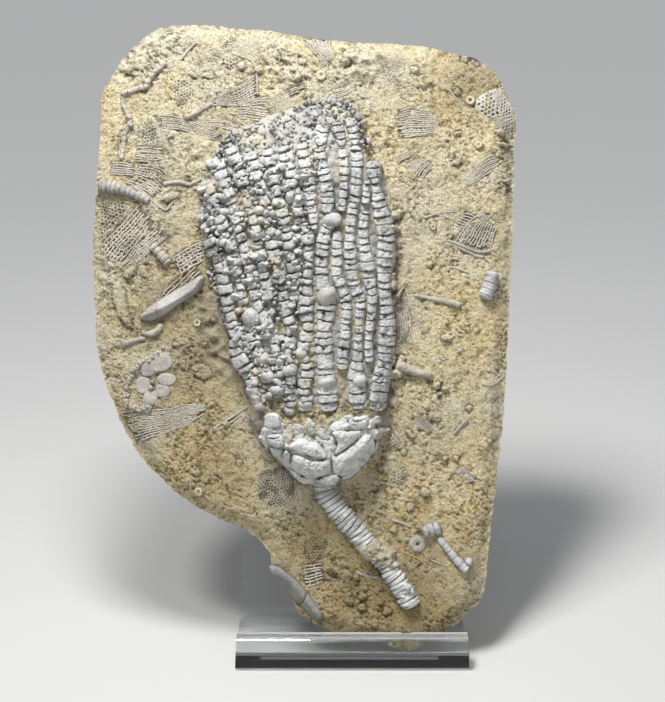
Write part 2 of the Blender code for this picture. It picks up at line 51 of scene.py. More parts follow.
MM = 0.001
LEAN = math.radians(20.0)                       # how far the slab leans back
SEAT = Vector((0.0, -0.0086731, 0.0036281))     # where the slab's own origin stands
PIXEL_MM = 0.24                                 # one pixel of the view, on the slab's face
ORIGIN_PX = (352.0, 650.0)                      # the pixel at the slab's own origin
VIEW_CENTRE_PX = (332.5, 351.0)
VIEW_HEIGHT_PX = 702
SLAB_THICKNESS = 17.0

RIGHT = Vector((1.0, 0.0, 0.0))
UP = Vector((0.0, math.sin(LEAN), math.cos(LEAN)))
OUT = Vector((0.0, -math.cos(LEAN), math.sin(LEAN)))


def at(*pixels):
    """Pixels of the view as plan points (u, v) on the slab."""
    return [Vector(((x - ORIGIN_PX[0]) * PIXEL_MM, (ORIGIN_PX[1] - y) * PIXEL_MM)) for x, y in pixels]


def u_at(column):
    """The plan's u at a column of pixels."""
    return at((column, 0))[0].x


def v_at(row):
    """The plan's v at a row of pixels."""
    return at((0, row))[0].y


def to_world(points):
    """Slab coordinates in millimetres (an N x 3 array) as world metres."""
    points = np.asarray(points, dtype=float).reshape(-1, 3) * MM
    axes = np.array([RIGHT, UP, OUT])
    return points @ axes + np.array(SEAT)


# ---------------------------------------------------------------- curves and small maths

def plan_of(points):
    """Plan points as an N x 2 array."""
    return np.array([(p[0], p[1]) for p in points])


def smooth(value):
    value = np.clip(value, 0.0, 1.0)
    return value * value * (3 - 2 * value)


def rounded(share):
    """The height of a rounded edge: 0 at the rim, and 1 from a full share inwards."""
    return np.sqrt(1 - (1 - np.clip(share, 0.0, 1.0)) ** 2)


def ripple(u, v, size, layer):
    return noise.noise(Vector((u / size, v / size, layer)))


def ripples(points, size, layer):
    """The same noise for an array of plan points."""
    return np.array([noise.noise(Vector((u / size, v / size, layer))) for u, v in points])


def warp(points, size, layer):
    """A sideways push for each plan point, from two layers of noise."""
    return np.stack([ripples(points, size, layer), ripples(points, size, layer + 6.0)], axis=1)


def fractal(points, size, layer, octaves):
    """Noise of several octaves for an array of plan or solid points, about -1 to 1."""
    if points.shape[1] == 2:
        return np.array([noise.fractal(Vector((u / size, v / size, layer)), 0.9, 2.1, octaves)
                         for u, v in points])
    return np.array([noise.fractal(Vector((u / size, v / size, w / size + layer)), 0.9, 2.1, octaves)
                     for u, v, w in points])


def cells(points, size, layer):
    """Rounded grains with sharp furrows between them: 1 on a grain's top, below 0 in a furrow."""
    place = np.asarray(points)[:, :2] / size
    home = np.floor(place)
    nearest = np.full(len(place), 9.0)
    for du in (-1, 0, 1):
        for dv in (-1, 0, 1):
            square = home + (du, dv)
            mixed = np.sin(square @ np.array([[12.71, 26.95], [31.17, 18.33]]) + layer) * 4375.85453
            away = place - square - (mixed - np.floor(mixed))
            nearest = np.minimum(nearest, np.hypot(away[:, 0], away[:, 1]))
    return np.maximum(1 - (nearest / 0.68) ** 2, -0.8)


CURVE_PARTS = 16


def curve_through(points, step, closed=False):
    """Evenly spaced points along a Catmull-Rom curve through the given ones."""
    count = len(points)
    fine = []
    for span in range(count if closed else count - 1):
        places = [(span + k) % count if closed else min(max(span + k, 0), count - 1) for k in (-1, 0, 1, 2)]
        before, start, end, after = (Vector(points[place]) for place in places)
        for k in range(CURVE_PARTS):
            t = k / CURVE_PARTS
            fine.append(0.5 * (2 * start + (end - before) * t
                               + (2 * before - 5 * start + 4 * end - after) * t * t
                               + (3 * start - before - 3 * end + after) * t ** 3))
    fine.append(Vector(points[0] if closed else points[-1]))
    lengths = [0.0]
    for one, two in zip(fine, fine[1:]):
        lengths.append(lengths[-1] + (two - one).length)
    pieces = max(1, round(lengths[-1] / step))
    even = []
    here = 0
    for k in range(pieces if closed else pieces + 1):
        target = lengths[-1] * k / pieces
        while here < len(lengths) - 2 and lengths[here + 1] < target:
            here += 1
        part = (target - lengths[here]) / max(lengths[here + 1] - lengths[here], 1e-9)
        even.append(fine[here].lerp(fine[here + 1], part))
    return even


def headings(points):
    last = len(points) - 1
    return [(points[min(k + 1, last)] - points[max(k - 1, 0)]).normalized() for k in range(last + 1)]


def across_from(heading):
    """The plan direction to the right of a heading."""
    return Vector((heading.y, -heading.x))


def away_from(route, points, step=0.3):
    """Distance of each plan point to the curve through a route."""
    return np.min([np.linalg.norm(points - p, axis=1) for p in plan_of(curve_through(route, step))], axis=0)


def edge_distances(outline, points):
    """Distance of each plan point (N x 2) to the nearest side of an outline, negative outside."""
    ring = plan_of(outline)
    nearest = np.full(len(points), 1e9)
    inside = np.zeros(len(points), dtype=bool)
    for one, two in zip(ring, np.roll(ring, -1, axis=0)):
        side = two - one
        offset = points - one
        part = np.clip((offset @ side) / max(side @ side, 1e-12), 0.0, 1.0)
        nearest = np.minimum(nearest, np.linalg.norm(offset - part[:, None] * side, axis=1))
        if one[1] != two[1]:
            crosses = (one[1] > points[:, 1]) != (two[1] > points[:, 1])
            where = one[0] + (points[:, 1] - one[1]) * side[0] / side[1]
            inside ^= crosses & (points[:, 0] < where)
    return np.where(inside, nearest, -nearest)


def triangulated(outline, inner):
    """An outline's points followed by inner points, and the triangles over them."""
    points = [Vector((p[0], p[1])) for p in (*outline, *inner)]
    _, _, faces, origins, _, _ = delaunay_2d_cdt(points, [], [list(range(len(outline)))], 1, 1e-6)
    source = [group[0] for group in origins]
    return plan_of(points), [[source[k] for k in face] for face in faces]


def well_inside(outline, points, margin):
    """Which points lie inside a finely drawn outline, first sorted by a rough copy of it."""
    if len(outline) < 300:
        return edge_distances(outline, points) > margin
    rough = edge_distances(outline[::12], points)
    inside = rough > 1.5
    close = np.flatnonzero(np.abs(rough) <= 1.5)
    inside[close] = edge_distances(outline, points[close]) > margin
    return inside


def hexagonal(outline, step, margin=0.55, jitter=0.0, seed=1):
    """Inner points of an outline on a hexagonal grid."""
    ring = plan_of(outline)
    low, high = ring.min(axis=0), ring.max(axis=0)
    row_step = step * math.sqrt(3) / 2
    rows, columns = np.mgrid[0:int((high[1] - low[1]) / row_step) + 1, 0:int((high[0] - low[0]) / step) + 2]
    u = low[0] + (columns - 0.5 * (rows % 2)) * step
    v = low[1] + (rows + 0.5) * row_step
    points = np.stack([u.ravel(), v.ravel()], axis=1)
    points += np.random.default_rng(seed).uniform(-jitter, jitter, points.shape) * step
    return points[well_inside(outline, points, margin * step)]


def sand_grains(count, seed):
    """Unit noise, one value a point, cut off at twice its spread."""
    return np.clip(np.random.default_rng(seed).normal(0.0, 1.0, count), -2, 2)


# ---------------------------------------------------------------- meshes

# Painted values: the first carries painted shade in pits, seams, hollows and at the feet of raised pieces,
# and is lower on the stone's grain tops; shade carries painted shade over whole zones.
PAINTS = ("crevice", "stain", "warm", "violet", "shade")


def link(name, data):
    """A new object in the scene."""
    made = bpy.data.objects.new(name, data)
    bpy.context.collection.objects.link(made)
    return made


class Piece:
    """Vertices, faces and a few painted values, gathered in slab millimetres."""

    def __init__(self):
        self.points = []
        self.faces = []
        self.paint = {key: [] for key in PAINTS}

    def add(self, points, faces, **painted):
        start = len(self.points)
        self.points.extend([tuple(p) for p in points])
        self.faces.extend([[start + k for k in face] for face in faces])
        for key, values in self.paint.items():
            values.extend(np.broadcast_to(painted.get(key, 0.0), len(points)).tolist())

    def build(self, name, finish, node=None, sharp=None):
        """The object, on the root body in place of the part that it hides; sharp is the angle from which its
        edges stay sharp.
        """
        mesh = bpy.data.meshes.new(name)
        mesh.from_pydata(to_world(self.points).tolist(), [], self.faces)
        for key, values in self.paint.items():
            layer = mesh.attributes.new(key, "FLOAT", "POINT")
            layer.data.foreach_set("value", np.array(values, dtype=np.float32))
        shell = bmesh.new()
        shell.from_mesh(mesh)
        bmesh.ops.recalc_face_normals(shell, faces=shell.faces)
        shell.to_mesh(mesh)
        shell.free()
        mesh.materials.append(FINISHES[finish])
        mesh.shade_smooth()
        if sharp:
            mesh.set_sharp_from_angle(angle=math.radians(sharp))
        made = link(name, mesh)
        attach(made, "root")
        if node:
            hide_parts(node)


def band(lower, upper, closed=True):
    """Quads between two runs of point numbers."""
    count = len(lower)
    return [(lower[k], lower[(k + 1) % count], upper[(k + 1) % count], upper[k])
            for k in range(count if closed else count - 1)]


def tube(rings):
    """Faces over a row of rings of point numbers, closed at both ends."""
    faces = [quad for one, two in zip(rings, rings[1:]) for quad in band(one, two)]
    return faces + [list(reversed(rings[0])), rings[-1]]


def add_field(piece, rim, step, shape, sink=0.7, jitter=0.12):
    """A closed body over an outline; shape(plan, edge) gives its top and its painted values."""
    plan, faces = triangulated(rim, hexagonal(rim, step, jitter=jitter))
    count = len(rim)
    edge = np.abs(edge_distances(rim, plan))
    edge[:count] = 0.0
    top, paint = shape(plan, edge)
    floor = np.column_stack([plan[:count], ground.read(plan[:count]) - sink])
    _, floor_faces = triangulated(rim, [])
    low = list(range(len(plan), len(plan) + count))
    faces = faces + [[low[k] for k in face] for face in floor_faces] + band(low, list(range(count)))
    full = {key: np.concatenate([np.broadcast_to(value, len(plan)), np.zeros(count)])
            for key, value in paint.items()}
    full["crevice"] = np.concatenate([np.clip(paint["crevice"], 0, 1), np.ones(count)])
    piece.add(np.concatenate([np.column_stack([plan, top]), floor]), faces, **full)


def make_field(name, outline, spacing, step, shape, finish, node=None):
    """One piece that is a single body over an outline."""
    piece = Piece()
    add_field(piece, curve_through(outline, spacing, closed=True), step, shape)
    piece.build(name, finish, node)


# ---------------------------------------------------------------- the face of the slab

OUTLINE = at((156, 28), (180, 23), (215, 24), (258, 28), (302, 34), (345, 39), (388, 41), (422, 44),
    (440, 48), (459, 52.5), (474, 55.5), (486, 62.5), (496, 70), (502.5, 82), (504.5, 88.5), (510.5, 100),
    (516, 114), (517.5, 130), (515.5, 139), (515, 156), (514, 232), (510, 318), (507.5, 375), (502, 448),
    (494, 513), (489, 557), (484, 597), (470, 611), (459, 624), (436, 638), (407, 649.5), (384, 643),
    (345, 639), (323, 630), (302, 617), (289, 597), (272, 571), (268, 552), (247, 533), (222, 521),
    (186, 502), (160, 479), (136, 453), (118, 418), (106, 388), (98.5, 362), (94, 327), (92, 292),
    (92, 249), (93, 206), (96, 171), (99, 128), (100, 97), (107, 80), (120, 60), (137, 41))
# The crown's left and right side at rows of pixels.
CROWN_ROWS = [(484, 322, 338), (470, 292, 366), (452, 264, 382), (430, 254, 386), (400, 244, 388), (360,
    230, 392), (320, 224, 396), (280, 213, 396), (240, 199, 394), (200, 203, 387), (160, 216, 380), (130,
    236, 366), (108, 294, 357), (94, 318, 346)]
MOUND_HEIGHT = 6.0
RIM_DROP = 2.4
RIM_ROUNDING = 6.0
FINE_STEP = 0.30                 # point spacing of the open face
NET_STEP = 0.205                 # the same in the nets, laces and lumps
HIDDEN_STEP = 0.9                # the same under the crown
UNDER_CROWN = 3.0                # how far inside the crown's border the coarse spacing starts
WALL_STEP = 0.85                 # spacing of the rings down the side wall
BACK_STEP = 1.1                  # point spacing of the back
LEDGES = 2.6                     # broken ledges of the back for each unit of noise
RIM_FINE = 0.42
HEART = (-8.0, 60.0)             # the wall draws in towards this plan point
SPLIT_HEIGHTS = (52.0, 98.0)     # where the front's three skins meet
FACE_NAMES = ("stone_face_lower", "stone_face_middle", "stone_face_upper")
BREAKS, BREAKS_LAYER = -0.48, 3.1      # where the noise falls below this, matrix hides the lace

RIM = curve_through(OUTLINE, RIM_FINE, closed=True)
OUTLINE_SMOOTH = curve_through(OUTLINE, 4.6, closed=True)


def crown_sides(v):
    """Left and right side of the crown for an array of heights, and its lowest and highest."""
    rows = np.array([(v_at(y), u_at(left), u_at(right)) for y, left, right in CROWN_ROWS])
    height, left, right = rows.T
    return np.interp(v, height, left), np.interp(v, height, right), height[0], height[-1]


def mound(points):
    """Height of the matrix core under the crown, and how far across it each point lies."""
    left, right, bottom, top = crown_sides(points[:, 1])
    across = (2 * points[:, 0] - left - right) / (right - left)
    along = 0.55 + 0.45 * smooth((points[:, 1] - bottom) / 25)
    along = along * smooth((top + 2 - points[:, 1]) / 24)
    reach = np.clip(1 - across * across, 0.0, 1.0)
    within = (points[:, 1] >= bottom) & (points[:, 1] <= top)
    return np.where(within, MOUND_HEIGHT * along * reach ** 0.8, 0.0)


def relief(points):
    """Height of the face over its datum, without the fine grain."""
    edge = edge_distances(OUTLINE_SMOOTH, points)
    height = 0.8 * ripples(points, 26, 1.7) - RIM_DROP * (1 - smooth(edge / RIM_ROUNDING)) ** 2
    core = mound(points)
    lumps = 0.55 * ripples(points, 6, 5.1) + 0.28 * ripples(points, 2.7, 8.4)
    return height + core + np.where(core > 0.3, 0.3, 1.0) * lumps


class Ground:
    """The face's height as a grid with bilinear reading."""

    LOW = np.array([-66.0, -4.0])
    STEP = 0.6
    COLUMNS, ROWS = 186, 264

    def __init__(self):
        u = self.LOW[0] + np.arange(self.COLUMNS) * self.STEP
        v = self.LOW[1] + np.arange(self.ROWS) * self.STEP
        grid = np.stack(np.meshgrid(u, v), axis=-1).reshape(-1, 2)
        self.heights = relief(grid).reshape(self.ROWS, self.COLUMNS)

    def read(self, points):
        place = (np.asarray(points, dtype=float).reshape(-1, 2) - self.LOW) / self.STEP
        cell = np.clip(np.floor(place).astype(int), 0, np.array(self.heights.shape[::-1]) - 2)
        part = place - cell
        x, y = cell[:, 0], cell[:, 1]
        below = self.heights[y, x] * (1 - part[:, 0]) + self.heights[y, x + 1] * part[:, 0]
        above = self.heights[y + 1, x] * (1 - part[:, 0]) + self.heights[y + 1, x + 1] * part[:, 0]
        return below * (1 - part[:, 1]) + above * part[:, 1]

    def height(self, point):
        return float(self.read([(point[0], point[1])])[0])


ground = Ground()


def box_of(points, outline, reach):
    """Which points lie in an outline's box, widened by a reach."""
    ring = plan_of(outline)
    return np.all((points > ring.min(axis=0) - reach) & (points < ring.max(axis=0) + reach), axis=1)


def soft_mask(points, outlines, blur):
    """1 inside any of the outlines and 0 outside, with a ragged soft edge."""
    mask = np.zeros(len(points))
    for outline in outlines:
        near = box_of(points, outline, blur)
        if near.any():
            here = points[near]
            depth = edge_distances(outline, here) + 0.55 * ripples(here, 1.3, 12.5)
            mask[near] = np.maximum(mask[near], smooth(0.5 + depth / blur))
    return mask


def with_zones(values, plan, zones):
    """Values raised or lowered in soft round zones: place, reach in pixels, amount."""
    for place, reach, amount in zones:
        away = np.linalg.norm(plan - np.array(at(place)[0]), axis=1) / (reach * PIXEL_MM)
        values = values + amount * np.exp(-away ** 2)
    return values


def lace_loops():
    """The outline that each lace's rows make."""
    loops = []
    for *rows, _, _, _ in LACES:
        sides = [at(*row) for row in rows]
        loops.append([side[0] for side in sides] + sides[-1][1:-1] + [side[-1] for side in reversed(sides)]
                     + sides[0][1:-1][::-1])
    return loops


def net_pits(points, nets):
    """How deep the holes of the pricked nets are at each point."""
    depth = np.zeros(len(points))
    for outline, pitch, hole, deep, turn in nets:
        near = box_of(points, outline, 0.0)
        here = points[near]
        step = pitch * PIXEL_MM
        spun = here @ np.array([[math.cos(turn), -math.sin(turn)], [math.sin(turn), math.cos(turn)]])
        spun = spun + 0.45 * warp(here, 2.6, 1.4)
        spun = spun + 0.20 * warp(here, 0.9, 2.4)
        row = np.round(spun[:, 1] / (step * 0.866))
        column = np.round(spun[:, 0] / step - 0.5 * (row % 2)) + 0.5 * (row % 2)
        away = np.hypot(spun[:, 0] - column * step, spun[:, 1] - row * step * 0.866)
        pit = np.exp(-(away / (hole * PIXEL_MM * (1 + 0.9 * ripples(here, 1.7, 4.6)))) ** 4)
        within = smooth((edge_distances(outline, here) + 0.4 * ripples(here, 1.1, 3.3)) / 0.4)
        depth[near] = np.maximum(depth[near], deep * pit * within)
    return depth


def under_crown(points, margin):
    """How far inside the crown's border each point lies."""
    left, right, bottom, top = crown_sides(points[:, 1])
    return np.minimum.reduce([points[:, 0] - left, right - points[:, 0], points[:, 1] - bottom,
                              top - 2.2 - points[:, 1]]) - margin


def swellings():
    """Every low lump of the face: outline, rise and width of its rounded edge."""
    return list(PATCHES) + [(circle(place, radius, 0.22), rise, radius * PIXEL_MM)
                            for place, radius, rise in KNOBS]


def face_points(rim):
    """Inner points of the face: fine where it is open, finer in its detail, coarse under the crown."""
    fine = hexagonal(rim, FINE_STEP, jitter=0.18)
    finer = hexagonal(rim, NET_STEP, jitter=0.12)
    coarse = hexagonal(rim, HIDDEN_STEP, jitter=0.1)
    in_fine, in_finer = np.ones(len(fine), dtype=bool), np.zeros(len(finer), dtype=bool)
    for outline in [net[0] for net in NETS] + lace_loops() + [lump[0] for lump in swellings()]:
        for points, chosen, value in ((fine, in_fine, False), (finer, in_finer, True)):
            near = box_of(points, outline, 0.2)
            inside = edge_distances(outline, points[near]) > -0.1
            chosen[np.flatnonzero(near)[inside]] = value
    groups = [fine[in_fine & (under_crown(fine, UNDER_CROWN) < 0)],
              finer[in_finer & (under_crown(finer, UNDER_CROWN) < 0)],
              coarse[under_crown(coarse, UNDER_CROWN) > 0]]
    return np.concatenate([group[well_inside(rim, group, 0.5 * FINE_STEP)] for group in groups])


def lace_gaps(points):
    """How much open gap between lace ribs, and how much lace, there is at each point."""
    gaps, zone = np.zeros(len(points)), np.zeros(len(points))
    for loop, runs in zip(lace_loops(), lace_runs()):
        near = box_of(points, loop, 0.8)
        here = points[near]
        inside = smooth(0.6 + (edge_distances(loop, here) + 0.5 * ripples(here, 1.3, 12.5)) / 0.8)
        away = np.full(len(here), 9.0)
        for mark in plan_of([p for run in runs for p in run])[::2]:
            away = np.minimum(away, np.hypot(here[:, 0] - mark[0], here[:, 1] - mark[1]))
        gaps[near] = np.maximum(gaps[near], inside * smooth((away - 0.10) / 0.26))
        zone[near] = np.maximum(zone[near], inside)
    return gaps, zone


def face_surface(plan):
    """Height of the finished face at each plan point, and its painted values."""
    coarse = fractal(plan, 2.1, 3.7, 3)
    pits = np.clip(-fractal(plan, 2.6, 6.6, 3) - 0.3, 0.0, 1.0)
    warped = plan * (0.78, 1.0) + 0.35 * warp(plan, 1.9, 1.4)
    warped = warped @ np.array([[0.82, 0.57], [-0.57, 0.82]]) * (0.8, 1.15)
    large, small = cells(warped, 0.95, 3.0), cells(warped, 0.60, 9.0)
    sand = sand_grains(len(plan), 3)
    rugged = 0.75 + 0.7 * smooth(0.5 + 1.6 * ripples(plan, 7.0, 4.4))
    under = smooth(under_crown(plan, 1.0) / 2.0)
    gaps, lace = lace_gaps(plan)
    shown = smooth((ripples(plan, 2.6, BREAKS_LAYER) - BREAKS) / 0.15 + 0.5)
    gaps, lace = gaps * shown, lace * shown
    nets = soft_mask(plan, [net[0] for net in NETS], 1.2)
    violet = soft_mask(plan, VIOLET_FLATS, 2.0)
    rough = soft_mask(plan, ROUGH_ZONES, 2.5)
    calm = (1 - 0.85 * np.maximum(np.maximum(0.8 * lace, nets), violet)) * rugged
    holes = net_pits(plan, NETS)
    grainy = calm * (0.12 * large + 0.14 * small + 0.05 * sand - 0.3 * pits)
    height = ground.read(plan) + 0.27 * coarse + grainy
    height = height + 0.30 * nets + 0.15 * violet - holes + CROWN_FILL * under - 0.25 * gaps + 0.1 * lace
    lumps = fractal(warped, 2.2, 5.9, 2)
    height = height + rough * (0.15 + 1.0 * lumps)
    # Painted shade: darker in furrows, pits, net holes, between lace ribs and under the crown's edge,
    # lighter on the grain tops, with random tone.
    crevice = calm * (0.44 - 0.22 * large - 0.26 * small - 0.20 * coarse - 0.13 * sand + 0.6 * pits)
    crevice = crevice + (1 - calm) * 0.15 + 2.4 * holes + 0.45 * under + 0.55 * gaps - 0.45 * rough * lumps
    grey = np.maximum(0.8 * nets, 0.5 * np.maximum(lace, rough))
    for outline, rise, rounding in swellings():
        near = np.flatnonzero(box_of(plan, outline, 0.5))
        depth = edge_distances(outline, plan[near]) + 0.25 * ripples(plan[near], 1.2, 6.5)
        inside = smooth(depth / 0.35)
        height[near] += rise * rounded(depth / rounding) * inside
        # Painted shade in a ring round each lump's foot.
        crevice[near] = crevice[near] * (1 - 0.55 * inside) + 0.5 * np.exp(-((depth + 0.15) / 0.22) ** 2)
        grey[near] = np.maximum(grey[near], 0.75 * inside)
    # The shade value paints shade over the zones of the painted shade table.
    return height, {"crevice": np.clip(crevice, 0.0, 1.0), "stain": grey,
                    "warm": with_zones(0.25 * ripples(plan, 9.0, 2.5), plan, TONES),
                    "shade": with_zones(0.25 * ripples(plan, 11.0, 6.5), plan, PAINTED_SHADES),
                    "violet": np.maximum(violet, 0.35 * lace)}


def make_face():
    """The front of the slab in three skins, and the broken side wall with the back."""
    rim = plan_of(RIM)
    inward = np.array(HEART) - rim
    inward /= np.linalg.norm(inward, axis=1)[:, None]
    chip = 0.35 * fractal(rim, 3.5, 2.2, 3) + 0.22 * fractal(rim, 1.3, 8.2, 2)
    rim = rim + inward * (0.15 + chip)[:, None]
    plan, faces = triangulated(rim, face_points(rim))
    height, paint = face_surface(plan)
    points = np.column_stack([plan, height])
    faces = np.array(faces)
    level = np.digitize(plan[faces].mean(axis=1)[:, 1], SPLIT_HEIGHTS)
    for number, name in enumerate(FACE_NAMES):
        used, compact = np.unique(faces[level == number], return_inverse=True)
        piece = Piece()
        piece.add(points[used], compact.reshape(-1, 3).tolist(),
                  **{key: value[used] for key, value in paint.items()})
        piece.build(name, "sandy_limestone", "matrix_slab")
    count = len(rim)
    make_sides_and_back(rim, inward, points[:count], {key: value[:count] for key, value in paint.items()})


def make_sides_and_back(rim, inward, front, paint):
    """The broken wall from the front's rim down, and the ledged back."""
    count = len(rim)
    piece = Piece()
    piece.add(front, [], **paint)
    ring = list(range(count))
    undercut = smooth((26.0 - rim[:, 1]) / 14)
    for depth in np.arange(WALL_STEP, SLAB_THICKNESS + 0.1, WALL_STEP):
        inset = depth * (0.13 + 0.27 * undercut)
        solid = np.column_stack([rim, np.full(count, -depth)])
        broken = 0.75 * fractal(solid, 5.5, 3.3, 3) + 0.42 * fractal(solid, 1.8, 9.1, 4)
        share = min(1.0, depth / 2.5) * (1.0 - 0.7 * undercut)
        level = -depth + front[:, 2] * max(0.0, 1 - depth / 3)
        across = rim + inward * (inset + share * (broken + 0.25))[:, None]
        after = list(range(len(piece.points), len(piece.points) + count))
        piece.add(np.column_stack([across, level]), [],
                  crevice=np.clip(0.14 + 0.45 * fractal(solid, 1.4, 9.1, 3), 0.0, 1.0))
        piece.faces.extend(band(ring, after))
        ring = after
    back_rim = plan_of(piece.points[k] for k in ring)
    back_plan, back_faces = triangulated(back_rim, hexagonal(back_rim, BACK_STEP, jitter=0.3))
    back = back_plan[count:]
    steps = LEDGES * fractal(back, 13.0, 4.4, 5) + 40
    part = steps - np.floor(steps)
    ledges = (np.floor(steps) - 40 + smooth((part - 0.30) / 0.25)) / LEDGES
    level = 0.6 + 0.75 * ledges + 0.22 * fractal(back, 2.6, 5.4, 3)
    # Painted shade along each step of the back's ledges, with random tone.
    crevice = 0.12 + 0.36 * np.exp(-((part - 0.42) / 0.13) ** 2) - 0.25 * fractal(back, 1.9, 5.4, 3)
    number = ring + list(range(len(piece.points), len(piece.points) + len(back)))
    piece.add(np.column_stack([back, np.clip(level, 0.0, 1.5) - SLAB_THICKNESS]), [],
              crevice=np.clip(crevice, 0, 1))
    piece.faces.extend([[number[k] for k in reversed(face)] for face in back_faces])
    piece.build("stone_sides_and_back", "sandy_limestone", "matrix_slab")


# ---------------------------------------------------------------- pieces laid on the face

def add_patch(piece, outline, rise, rounding, step=0.35, texture=0.06, dark=0.6, ridges=()):
    """A pillow over an outline, with ridges or cracks along it: route, width, lift."""
    def shape(plan, edge):
        top = ground.read(plan) + rise * (0.12 + 0.88 * rounded(edge / rounding))
        top += texture * fractal(plan, 0.9, 1.1, 3) + 0.10 * rise * ripples(plan, 2.6, 4.2)
        # Painted shade round the pillow's rim and in its cracks.
        crevice = dark * np.clip(1 - edge / 0.45, 0.0, 1.0)
        for route, width, lift in ridges:
            crest = np.exp(-(away_from(route, plan) / width) ** 2)
            top += lift * crest
            if lift < 0:
                crevice = np.maximum(crevice, crest)
        return top, {"crevice": crevice}

    add_field(piece, curve_through(outline, step, closed=True), step, shape, jitter=0.0)


def circle(pixel, radius, wobble=0.0, sides=14):
    """A round outline about a pixel, its radius in pixels."""
    dice = random.Random(int(pixel[0] * 7 + pixel[1] * 13))
    return at(*[(pixel[0] + radius * (1 + dice.uniform(-wobble, wobble)) * math.cos(2 * math.pi * k / sides),
                 pixel[1] + radius * (1 + dice.uniform(-wobble, wobble)) * math.sin(2 * math.pi * k / sides))
                for k in range(sides)])


def add_knob(piece, pixel, radius, rise, wobble=0.1, **settings):
    """A small round pillow, its radius in pixels."""
    step = min(0.35, radius * 0.05)
    add_patch(piece, circle(pixel, radius, wobble), rise, radius * PIXEL_MM, step, **settings)


def add_ring(piece, pixel, radius, rise, hole):
    """A round columnal lying flat, with a raised rim and a hollow middle."""
    add_patch(piece, circle(pixel, radius, 0.03, 20), rise, radius * PIXEL_MM * 0.4, radius * 0.035,
              ridges=[(circle(pixel, radius * 0.05, 0.0, 6), radius * PIXEL_MM * hole * 0.6, -0.8 * rise)])


def add_rod(piece, route, widths, rib, rib_depth, sunk, sides=14, step=0.16, texture=0.05, uneven=0.25):
    """A round rod along the face: half widths at its ends, ribs of a length and depth across it."""
    points = curve_through(route, step)
    last = len(points) - 1
    width = max(3, int(2.5 / step))
    base = np.pad(ground.read(plan_of(points)), width // 2, mode="edge")
    base = np.convolve(base, np.ones(width) / width, mode="same")[width // 2: width // 2 + last + 1]
    sharpness = 3 if rib < 1.1 else 6 if rib < 1.5 else 12
    verts, rings, crevice = [], [], []
    for k, (place, heading) in enumerate(zip(points, headings(points))):
        half = widths[0] + (widths[1] - widths[0]) * k / last
        wander = ripple(place.x, place.y, 2.6, 4.9), ripple(place.x, place.y, 1.1, 6.9)
        end = min(k, last - k) * step / max(half, 0.1)
        if end < 0.5:
            half *= math.sqrt(max(0.05, 1 - (1 - end / 0.5) ** 2))
        across = across_from(heading)
        for side in range(sides):
            angle = 2 * math.pi * side / sides
            wrapped = Vector((place.x + math.cos(angle), place.y, math.sin(angle) * 2))
            push = 1 + texture * noise.noise(wrapped * 1.4)
            valley = 0.0
            if rib:
                phase = k * step / rib + uneven * (0.35 * wander[0] + 0.30 * wander[1] * math.cos(angle))
                valley = (0.5 + 0.5 * math.cos(2 * math.pi * phase)) ** sharpness
                number = int(phase + 0.5)
                valley *= 1 - 0.5 * uneven * (0.5 + 0.5 * math.sin(number * 2.7 + 1.5 * math.cos(angle)))
                push *= 1 - rib_depth * valley
                push *= 1 + 0.05 * uneven * math.sin(int(phase) * 1.9 + 2.0 * math.cos(angle))
            spot = place + across * (half * math.cos(angle) * push)
            verts.append((spot.x, spot.y, base[k] + half * (math.sin(angle) * push + 1 - 2 * sunk)))
            # Painted shade in the grooves between ribs and along the rod's underside.
            crevice.append(min(1.0, (0.5 + 0.22 * uneven) * valley + 0.5 * max(0.0, 0.1 - math.sin(angle))))
        rings.append(list(range(len(verts) - sides, len(verts))))
    piece.add(verts, tube(rings), crevice=crevice)


# A low rib's cross-section: place across it, height, and how much painted shade it gets there.
RIB_PROFILE = ((-1.1, -1.2, 0.9), (-0.85, 0.35, 0.25), (-0.3, 0.95, 0.0), (0.3, 0.95, 0.0),
               (0.85, 0.35, 0.25), (1.1, -1.2, 0.9))


def add_strip(piece, points, half, high, seed):
    """One low rib along a run of plan points."""
    base = ground.read(plan_of(points))
    verts, rings = [], []
    for number, (place, heading) in enumerate(zip(points, headings(points))):
        bump = 1 + 0.5 * noise.noise(Vector((place.x * 1.5, place.y * 1.5, seed)))
        bump += 0.16 * math.sin(number * 2.1 + seed)
        end = 0.3 if number in (0, len(points) - 1) else 1.0
        for x, z, _ in RIB_PROFILE:
            spot = place + across_from(heading) * (x * half * bump)
            verts.append((spot.x, spot.y, base[number] + high * z * bump * end))
        rings.append(list(range(len(verts) - len(RIB_PROFILE), len(verts))))
    piece.add(verts, tube(rings), crevice=[dark for _ in points for _, _, dark in RIB_PROFILE])


def lace_runs():
    """The worn ribs of every lace, as runs of plan points through its rows of pixels."""
    every = []
    for seed, (*rows, ribs, _, _) in enumerate(LACES):
        dice = random.Random(seed)
        spread = [curve_through(at(*row), 0.1) for row in rows]
        runs = []
        for k in range(ribs):
            part = (k + 0.5 + dice.uniform(-0.15, 0.15)) / ribs
            knots = [row[min(len(row) - 1, int(part * (len(row) - 1) + 0.5))] for row in spread]
            run = [p + 0.3 * Vector((ripple(p.x, p.y, 1.9, seed + 0.5), ripple(p.x, p.y, 1.9, seed + 9.5)))
                   for p in curve_through(knots, 0.32)]
            late, cut = int(0.08 * dice.random() * len(run)), int(0.15 * dice.random() * len(run))
            run = run[late:max(late + 4, len(run) - cut)]
            within = edge_distances(OUTLINE_SMOOTH, plan_of(run)) > 0.5
            run = [p for p, fine in zip(run, within) if fine]
            if len(run) > 3:
                runs.append(run)
        every.append(runs)
    return every


